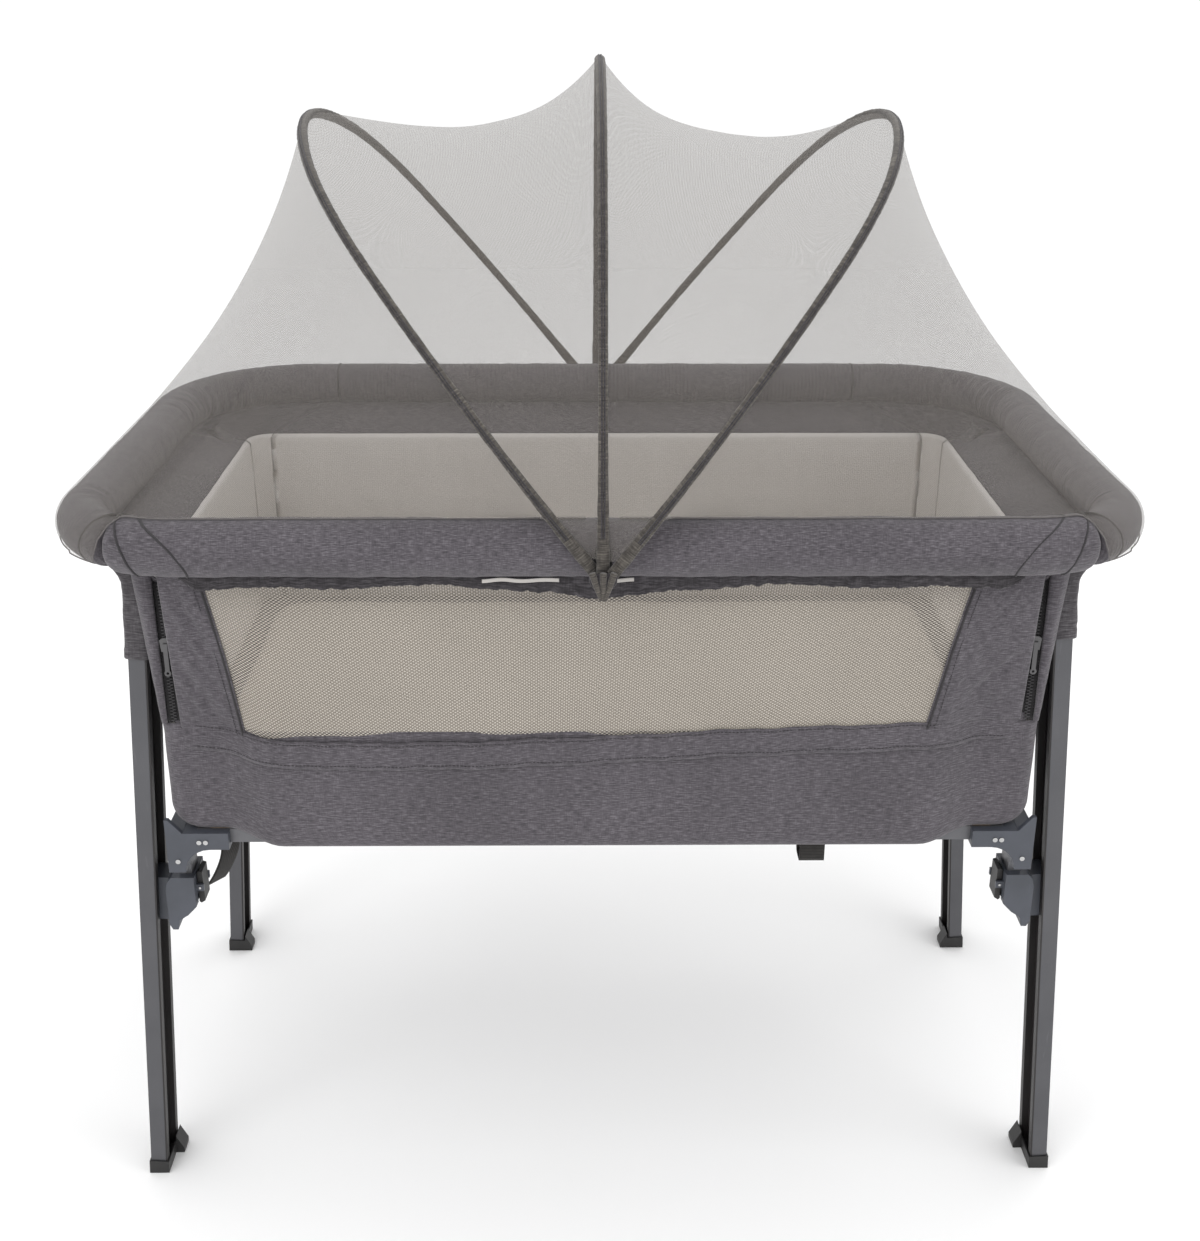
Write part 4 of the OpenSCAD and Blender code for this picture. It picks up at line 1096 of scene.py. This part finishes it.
for k, (x0, x1) in enumerate(((-0.100, -0.036), (0.012, 0.026))):
    x = np.linspace(x0, x1, 60)
    t = np.linspace(0, 1, 5)[:, None]
    strip = np.zeros((5, 60, 3))
    strip[..., 0] = x[None]
    strip[..., 2] = 0.6765 - 0.0032 * t - 0.0006 * np.sin(x * 170)[None]
    strip[..., 1] = -0.2895 - 0.0004 * np.sin(x * 240)[None]
    piece = shell_object(f"net_edge_strip_{k}", strip, 0.0006, mat_trim)
    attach(piece, "side_bar")

# ---- mattress ----

mat_low, mat_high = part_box("mattress")
CROWN_END, SIDE = 0.955, 0.997  # shares of the pad's half width
MOST_SWELL = 0.0045
rings = []
for s in np.linspace(0.03, CROWN_END, 24):
    rings.append((s, mat_high.z + 0.0022 * (1 - s**6)))
for a in np.linspace(0.1, pi / 2, 7):
    rings.append((CROWN_END + 0.042 * math.sin(a), mat_high.z - 0.012 * (1 - math.cos(a))))
for z in np.linspace(mat_high.z - 0.016, mat_low.z + 0.007, 7)[1:]:
    rings.append((SIDE, z))
for a in np.linspace(0.2, pi / 2, 4):
    rings.append((SIDE - 0.03 * (1 - math.cos(a)), mat_low.z + 0.007 * (1 - math.sin(a))))
grid = []
for s, z in rings:
    inset = (1 - s) * 0.234
    if s < 0.2:
        pad_corner = min(0.03, mat_high.y - inset - 0.001)
    else:
        pad_corner = max(0.03 - inset * 0.2, 0.012)
    ring = plan_ring(mat_high.x - inset, mat_high.y - inset, pad_corner, 90, 56, 8)
    grid.append(np.concatenate([ring, np.full((len(ring), 1), z)], 1))
grid = np.array(grid)
top = smoothstep(mat_high.z - 0.010, mat_high.z - 0.002, grid[..., 2])
grid[..., 2] += top * (0.0010 * ripple(grid, 0.12, 81) + 0.0005 * ripple(grid, 0.045, 82))
mattress_pad = tube_object("mattress_pad", grid[::-1], mat_mattress)
swell(mattress_pad, MOST_SWELL, (mat_low.x - 0.004, mat_low.y - 0.001, mat_low.z),
      (mat_high.x + 0.004, mat_high.y + 0.001, mat_high.z + 0.010))
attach(mattress_pad, "root")
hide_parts("mattress")
for k, z in enumerate((mat_high.z - 0.0085, mat_low.z + 0.0075)):
    ring = plan_ring(mat_high.x + 0.0004, mat_high.y + 0.0004, 0.03, 90, 56, 10)
    path = np.concatenate([ring, np.full((len(ring), 1), z)], 1)
    path = laid_on(mattress_pad, path)
    path = np.concatenate([path, path[:1]])
    rings = swept(path, np.array([0, 0, 1.0]), 0.0016, 8)
    piping = tube_object(f"mattress_piping_{k}", rings, mat_lining, caps=False)
    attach(piping, "root")

# ---- sleeves of the tub on the leg tops ----

splay = math.radians(3.9)
for name, sx, sy, low_z in (("front_left", -1, -1, 0.5775), ("front_right", 1, -1, 0.5955),
                            ("rear_left", -1, 1, 0.580), ("rear_right", 1, 1, 0.585)):
    zs = np.concatenate([np.linspace(low_z, 0.652, 30), np.linspace(0.652, 0.676, 9)[1:]])
    rows = []
    for z in zs:
        above = smoothstep(0.648, 0.676, z)
        half_t, half_d = 0.0103 - 0.0030 * above, 0.0252 - 0.001 * above
        ring = plan_ring(half_t, half_d, 0.0042 - 0.0008 * above, 6, 16, 5)
        local = np.concatenate([ring + [-0.0081 + 0.020 * above, 0], np.full((len(ring), 1), z)], 1)
        rows.append(local)
    grid = np.array(rows)
    out = np.zeros_like(grid)
    out[..., 0] = (grid[..., 0] + 0.0081) / 0.0105
    out[..., 1] = grid[..., 1] / 0.0255
    out /= np.maximum(np.linalg.norm(out, axis=2, keepdims=True), 1e-9)
    rng_seed = 90 + (sx > 0) * 2 + (sy > 0)
    fold = 0.0008 * np.clip(ripple(grid * [1, 1, 1.6] + [0, 0, 0.02], 0.03, rng_seed), -0.6, 2) + 0.0004
    hem_roll = 0.0007 * smoothstep(low_z + 0.010, low_z + 0.008, zs) + 0.0004
    grid = grid + out * (fold + hem_roll[:, None])[..., None]
    world = np.zeros_like(grid)
    world[..., 0] = sx * (0.460 + grid[..., 0] * math.cos(splay) - grid[..., 2] * math.sin(splay))
    world[..., 1] = sy * (0.199 + grid[..., 1])
    world[..., 2] = grid[..., 0] * math.sin(splay) + grid[..., 2] * math.cos(splay)
    if sx * sy < 0:
        world = world[:, ::-1]
    sleeve = shell_object("leg_sleeve_" + name, world[:, ::-1], 0.0008, mat_legsleeve, wrap=True)
    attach(sleeve, "root")
    if name == "front_left":
        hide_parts("leg_sleeves")

# ---- canopy ----

SIDE_TURN, SHOULDER_TURN, SHOULDER_R = math.radians(25), math.radians(40), 0.190


def hoop_points(name, turn):
    """Hoop's points (across, up) in its own plane, where it has turned by each angle from 0 to pi."""
    half_w, h = HOOP_W[name], HOOP_H[name]
    a1, a2 = SIDE_TURN, SIDE_TURN + SHOULDER_TURN
    s1, c1, s2, c2 = math.sin(a1), math.cos(a1), math.sin(a2), math.cos(a2)
    w, v = half_w - SHOULDER_R * (c1 - c2), h - SHOULDER_R * (s2 - s1)
    r1 = (v * c2 - w * (1 - s2)) / (s1 * c2 - (1 - c1) * (1 - s2))
    r3 = (half_w - SHOULDER_R * (c1 - c2) - r1 * (1 - c1)) / c2
    turn = np.asarray(turn, float)
    q = np.where(turn > pi / 2, pi - turn, turn)
    qa, qb, qc = np.minimum(q, a1), np.clip(q, a1, a2), np.maximum(q, a2)
    u = r1 - half_w - r1 * np.cos(qa) + SHOULDER_R * (c1 - np.cos(qb)) + r3 * (c2 - np.cos(qc))
    up = r1 * np.sin(qa) + SHOULDER_R * (np.sin(qb) - s1) + r3 * (np.sin(qc) - s2)
    return np.stack([np.where(turn > pi / 2, -u, u), up], -1)


def at_lean(points, lean):
    """World points of a hoop's plane that leans by an angle from the vertical."""
    x, z = points[..., 1] * np.sin(lean), HUB_Z + points[..., 1] * np.cos(lean)
    return np.stack([x, points[..., 0], z], -1)


for name in ("left", "middle", "right"):
    turn = np.linspace(math.radians(1.0), pi - math.radians(1.0), 260)
    path = at_lean(hoop_points(name, turn), LEAN[name])
    plane = np.array([math.cos(LEAN[name]), 0, -math.sin(LEAN[name])])
    _, side, above = turned_frames(path, plane)
    a = np.arange(20) * 2 * pi / 20
    near_top = np.exp(-(((turn - pi / 2) / 0.42) ** 2))
    end = np.exp(-(np.minimum(turn, pi - turn) / 0.10) ** 2)
    thin = 0.0037 - 0.0008 * end
    wide = 0.0040 + (0.0017 if name != "middle" else 0.0006) * near_top + 0.0016 * end
    wrinkle = 1 + 0.05 * ripple(path[:, None] + 0.01 * np.stack(
        [np.cos(a), np.sin(a), 0 * a], 1)[None], 0.020, 101) + 0.03 * np.sin(turn * 190)[:, None]
    grid = (
        path[:, None]
        + side[:, None] * (np.cos(a)[None] * thin[:, None] * wrinkle)[..., None]
        + above[:, None] * (np.sin(a)[None] * wide[:, None] * wrinkle)[..., None]
    )
    cover = tube_object("hoop_cover_" + name, grid, mat_sleeve)
    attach(cover, "hoop_" + name)
    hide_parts(f"hoop_{name}_sleeve")
    for k, sign in enumerate((-1, 1)):
        edge = path + side * -0.0036 + above * 0.0011 * sign
        ridge = tube_object(f"hoop_seam_{name}_{k}", swept(edge[4:-4], plane, 0.00075, 6), mat_darkhem)
        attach(ridge, "hoop_" + name)

NET_ROWS, NET_COLS = 150, 40
net_turn = np.linspace(math.radians(2.2), pi - math.radians(2.2), NET_ROWS)
EDGE_GAP = 0.0025


SAG, SAG_SPAN = 0.038, 0.430
MORE_SAG = {"left": 0.026, "middle": 0.033}


def net_between(a, b):
    """Net between two hoops, and the share of the way from a to b at each point."""
    t = np.linspace(0, 1, NET_COLS)[None, :, None]
    p = hoop_points(a, net_turn)[:, None] * (1 - t) + hoop_points(b, net_turn)[:, None] * t
    gap = np.arcsin(np.clip(EDGE_GAP / p[..., 1], 0, 0.5))
    lean = (LEAN[a] + gap) * (1 - t[..., 0]) + (LEAN[b] - gap) * t[..., 0]
    across = t[..., 0]
    off = np.abs(2 * across - 1)
    steep = across >= 0.5 if b == "middle" else np.ones_like(across, bool)
    scallop = np.where(steep, 1 - off**4, 1 - off**2)
    drawn = 1 - (SAG * (1 - off**2) + MORE_SAG[a] * scallop) / SAG_SPAN
    drawn = drawn + 0.0018 * ripple(at_lean(p, lean), 0.15, 111) * t[..., 0] * (1 - t[..., 0]) * 4
    p[..., 1] *= drawn
    side_pull = 4 * t[..., 0] * (1 - t[..., 0]) * np.abs(np.cos(net_turn))[:, None] ** 2
    p[..., 0] -= np.sign(p[..., 0]) * 0.006 * side_pull * np.clip(p[..., 1] / 0.15, 0, 1)
    return at_lean(p, lean), np.broadcast_to(t[..., 0], lean.shape)


def hem_points(outer, index):
    """Plan of the canopy's hem round the right-hand end, at 0 to 16 along it."""
    k = np.asarray(index, float)
    outer = np.full_like(k, outer)
    xs = np.interp(k, [0, 1, 2], [0.014, 0.140, 0.260])
    front_a = np.interp(k, [3, 7], [-pi / 2, 0])
    rear_a = np.interp(k, [9, 13], [0, pi / 2])
    front = np.stack([HALF_X - FRONT_R + (FRONT_R + outer) * np.cos(front_a),
                      -(HALF_Y - FRONT_R) + (FRONT_R + outer) * np.sin(front_a)], -1)
    rear = np.stack([HALF_X - REAR_R + (REAR_R + outer) * np.cos(rear_a),
                     HALF_Y - REAR_R + (REAR_R + outer) * np.sin(rear_a)], -1)
    line_a = np.stack([xs, np.full_like(xs, -HALF_Y) - outer], -1)
    line_b = np.stack([np.interp(k, [14, 15, 16], [0.260, 0.140, 0.014]),
                       np.full_like(xs, HALF_Y) + outer], -1)
    out = np.where((k <= 2)[..., None], line_a, front)
    k2, k3 = (k - 2)[..., None], (k - 7)[..., None] / 2
    start = np.stack([np.full_like(xs, 0.260), np.full_like(xs, -HALF_Y) - outer], -1)
    bend0 = np.stack([np.full_like(xs, HALF_X - FRONT_R), np.full_like(xs, -HALF_Y) - outer], -1)
    out = np.where(((k > 2) & (k < 3))[..., None], start * (1 - k2) + bend0 * k2, out)
    mid0 = np.stack([HALF_X + outer, np.full_like(xs, -(HALF_Y - FRONT_R))], -1)
    mid1 = np.stack([HALF_X + outer, np.full_like(xs, HALF_Y - REAR_R)], -1)
    out = np.where(((k >= 7) & (k <= 9))[..., None], mid0 * (1 - k3) + mid1 * k3, out)
    out = np.where((k > 9)[..., None], rear, out)
    k4 = (k - 13)[..., None]
    bend1 = np.stack([np.full_like(xs, HALF_X - REAR_R), np.full_like(xs, HALF_Y) + outer], -1)
    end = np.stack([np.full_like(xs, 0.260), np.full_like(xs, HALF_Y) + outer], -1)
    out = np.where(((k > 13) & (k < 14))[..., None], bend1 * (1 - k4) + end * k4, out)
    return np.where((k >= 14)[..., None], line_b, out)


WRAP_COLS = 12


def net_end(name):
    """Net from an outer hoop down to the rim's end, and round the outside of its pad."""
    index = np.interp(net_turn, [net_turn[0], net_turn[-1]], [0, 16])
    q = hoop_points(name, net_turn)
    lean = HOOP_LEAN + np.arcsin(np.clip(EDGE_GAP / q[:, 1], 0, 0.5))
    a = at_lean(q, lean)
    pad = np.where(index < 5.3, BAR_R + 0.0008, PAD_R + 0.0013)
    outside = smoothstep(4.0, 4.55, index)
    up = np.radians(94 - 42 * outside)
    down = np.radians(84 - 112 * outside)
    b = np.concatenate([hem_points(0, index), (RIM_Z + pad * np.sin(up))[:, None]], 1)
    b[:, :2] += (hem_points(0.05, index) - hem_points(0, index)) / 0.05 * (pad * np.cos(up))[:, None]
    t = np.linspace(0, 1, NET_COLS)[None, :, None]
    dip = 4 * t * (1 - t) * np.minimum(0.032, np.linalg.norm(b - a, axis=1) / 10)[:, None, None]
    dip = dip * (1.15 - 0.5 * t)
    net = a[:, None] * (1 - t) + b[:, None] * t - dip * np.array([0.6, 0, 0.8])
    wave = ripple(net, 0.17, 113) * np.minimum(dip[..., 0] / 0.032, 1)
    net[..., 2] += 0.0022 * wave
    wrap = []
    out = (hem_points(0.05, index) - hem_points(0, index)) / 0.05
    for share in np.linspace(0, 1, WRAP_COLS + 1)[1:]:
        angle = up + (down - up) * share
        plan = hem_points(0, index) + out * (pad * np.cos(angle))[:, None]
        wrap.append(np.concatenate([plan, (RIM_Z + pad * np.sin(angle))[:, None]], 1))
    net = np.concatenate([net, np.stack(wrap, 1)], 1)
    on_hoop = 1 - np.broadcast_to(t[..., 0], (len(q), NET_COLS))
    share = np.concatenate([on_hoop, np.zeros((len(q), WRAP_COLS))], 1)
    return net, share


for a, b, node in (("left", "middle", "net_left_middle"), ("middle", "right", "net_right_middle")):
    grid, share = net_between(a, b)
    net = open_object("canopy_" + node, grid, mat_net)
    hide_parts(node)
    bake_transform(net)

for side in ("left", "right"):
    grid, share = net_end(side)
    hem_line = grid[:, -1].copy()
    if side == "left":
        grid = grid * [-1, 1, 1]
        hem_line = hem_line * [-1, 1, 1]
        grid, share = grid[::-1], share[::-1]
    net = open_object(f"canopy_net_{side}_end", grid, mat_net)
    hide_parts(f"net_{side}_end")
    band_rings = swept(hem_line, np.array([0, 0, 1.0]), 0.0006, 8)
    hem_edge = tube_object(f"canopy_hem_{side}", band_rings, mat_nethem)
    if side == "left":
        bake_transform(net)
        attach(hem_edge, "root")
    else:
        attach(net, "hoop_right")
        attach(hem_edge, "hoop_right")
        plane = (math.cos(HOOP_LEAN), 0, -math.sin(HOOP_LEAN))
        for piece in (net, hem_edge):
            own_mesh(piece)

for side, sy in (("front", -1), ("rear", 1)):
    body = "hoop_left" if side == "front" else "root"
    rows = []
    for t in np.linspace(0, 1, 26):
        half = 0.0100 * (1 - smoothstep(0.25, 1.0, t)) + 0.0014
        a = np.arange(20) * 2 * pi / 20
        depth = 0.0020 * math.sin(pi * min(max(t, 0.04), 0.98)) ** 0.4
        x = half * np.cos(a)
        rows.append(np.stack([x, sy * (0.3242 + depth * np.sin(a)), np.full_like(x, 0.6935 - 0.0230 * t)], 1))
    grid = np.array(rows)
    grid[..., 1] += sy * 0.0005 * ripple(grid, 0.012, 121)
    pouch = tube_object("hub_pouch_" + side, grid if sy < 0 else grid[:, ::-1], mat_darkhem)
    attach(pouch, body)
    for k, (x0, x1) in enumerate(((-0.0088, -0.0016), (0.0, 0.0), (0.0088, 0.0016))):
        t = np.linspace(0, 1, 20)
        path = np.stack([x0 + (x1 - x0) * t, sy * (0.3262 - 0.0008 * t), 0.6945 - 0.0235 * t], 1)
        rings = swept(path, np.array([0, 1.0, 0]), (0.0029 - 0.0014 * t**2)[:, None], 14)
        tail = tube_object(f"hoop_tail_{side}_{k}", rings, mat_sleeve)
        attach(tail, body)

# ---- straps ----

STRAP_ROWS, STRAP_COLS = 60, 12
a = np.radians(np.linspace(40, -43, STRAP_ROWS))
along = np.linspace(0, 1, STRAP_ROWS)
bend = 0.0611 + 0.0020 * np.sin(np.linspace(0, pi, STRAP_ROWS)) * np.sin(np.linspace(0, 5, STRAP_ROWS))
width = np.linspace(-0.5, 0.5, STRAP_COLS)
strap = np.zeros((STRAP_ROWS, STRAP_COLS, 3))
twist = 0.62 * smoothstep(0, 0.45, along)
strap[..., 0] = (-0.421 + bend * np.cos(a))[:, None] + 0.022 * width[None] * twist[:, None]
strap[..., 1] = -0.173 + 0.0218 * width[None] * np.sqrt(1 - twist**2)[:, None]
strap[..., 2] = (0.3575 + bend * np.sin(a))[:, None]
hanging = shell_object("strap_hanging", strap, 0.0016, mat_webbing)
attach(hanging, "root")
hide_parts("hanging_strap")

loop_low, loop_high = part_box("strap_loop")
ly, lz = (loop_high.y - loop_low.y) / 2 - 0.001, (loop_high.z - loop_low.z) / 2 + 0.004
cy, cz = (loop_high.y + loop_low.y) / 2, (loop_high.z + loop_low.z) / 2 - 0.004
line, _ = resampled(np.concatenate([
    np.array([[cy - ly, cz + lz - 0.001]]),
    arc(cy - ly + 0.004, cz - lz + 0.005, 0.004, pi, 1.5 * pi, 6),
    arc(cy + ly - 0.004, cz - lz + 0.005, 0.004, 1.5 * pi, 2 * pi, 6),
    np.array([[cy + ly, cz + lz - 0.001]]),
]), 0.0012)
loop = np.zeros((len(line), STRAP_COLS, 3))
loop_t = np.linspace(0, 1, STRAP_COLS)
loop[..., 0] = (loop_low.x + 0.0005 + (loop_high.x - loop_low.x - 0.001) * loop_t)[None]
loop[..., 1] = line[:, 0][:, None]
loop[..., 2] = line[:, 1][:, None]
strap_ring = shell_object("strap_round_rail", loop, 0.0015, mat_webbing)
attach(strap_ring, "root")
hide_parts("strap_loop")

# ---- finishes of the CAD parts ----

# The track_ parts get the near-black that is partly painted shade of the legs' inner faces.
FINISH = (
    ("leg_sleeves", mat_legsleeve), ("leg_", mat_leg), ("track_", mat_track_dark_and_shade), ("foot_", mat_black),
    ("lever_pins", mat_bright), ("lever_", mat_black), ("gusset_screws", mat_bright),
    ("gusset_", mat_slate), ("housing_", mat_slate), ("stub_tubes", mat_frame),
    ("base_frame", mat_frame), ("support_slats", mat_frame), ("mattress_board", mat_board),
    ("rim_tube", mat_tube), ("front_tube", mat_tube), ("corner_connectors", mat_black),
    ("zip_slider", mat_pull), ("hub_", mat_black), ("strap", mat_webbing), ("hanging", mat_webbing),
)
for name, obj in nodes.items():
    material = mat_spring if name.endswith("_wire") else next(
        (m for start, m in FINISH if name.startswith(start)), mat_fabric)
    obj.data.materials.clear()
    obj.data.materials.append(material)

# ---- floor, light and camera ----

FLOOR_X, FLOOR_Y, FLOOR_Z = 6, 5, -0.0005
floor_corners = [(sx * FLOOR_X, sy * FLOOR_Y, FLOOR_Z) for sx, sy in ((-1, -1), (1, -1), (1, 1), (-1, 1))]
floor = bpy.data.meshes.new("floor")
floor.from_pydata(floor_corners, [], [[0, 1, 2, 3]])
floor_obj = bpy.data.objects.new("floor", floor)
bpy.context.scene.collection.objects.link(floor_obj)
g = Graph("floor_pale")
mottle = g.noise(g.place(), 3.0, 3.0, 0.5)
g.link(g.mix(mottle, (0.97, 0.97, 0.97), (0.99, 0.99, 0.99)), g.shader.inputs["Base Color"])
g.set(Roughness=0.9, Specular_IOR_Level=0.1)
floor.materials.append(g.material)

world = bpy.data.worlds.new("studio")
bpy.context.scene.world = world
world.use_nodes = True
world.node_tree.nodes["Background"].inputs["Color"].default_value = (1, 1, 1, 1)
world.node_tree.nodes["Background"].inputs["Strength"].default_value = 1.02


def area_light(name, location, target, size, power):
    light = bpy.data.lights.new(name, "AREA")
    light.shape = "RECTANGLE"
    light.size, light.size_y = size
    light.energy = power
    obj = bpy.data.objects.new(name, light)
    bpy.context.scene.collection.objects.link(obj)
    obj.location = location
    obj.rotation_euler = (Vector(target) - Vector(location)).to_track_quat("-Z", "Y").to_euler()


area_light("key", (-1.2, -2.2, 2.6), (0, 0, 0.6), (2.2, 1.6), 26)
area_light("fill", (2.2, -1.2, 1.6), (0, 0, 0.6), (1.6, 1.6), 10)
area_light("top", (0.2, 0.6, 3.0), (0, 0, 0.7), (2.4, 2.4), 16)

camera = bpy.data.cameras.new("camera")
camera.sensor_fit = "AUTO"
camera.sensor_width = 36
camera.lens = 46.25
camera_obj = bpy.data.objects.new("camera", camera)
bpy.context.scene.collection.objects.link(camera_obj)
camera_obj.location = (-0.0159, -1.5231, 1.1480)
pitch, yaw, roll = math.radians(22.43), math.radians(0.64), math.radians(0.12)
forward = Vector((math.sin(yaw) * math.cos(pitch), math.cos(yaw) * math.cos(pitch), -math.sin(pitch)))
camera_obj.rotation_euler = forward.to_track_quat("-Z", "Y").to_euler()
camera_obj.rotation_euler.rotate_axis("Z", roll)
bpy.context.scene.camera = camera_obj
bpy.context.scene.view_settings.view_transform = "Standard"
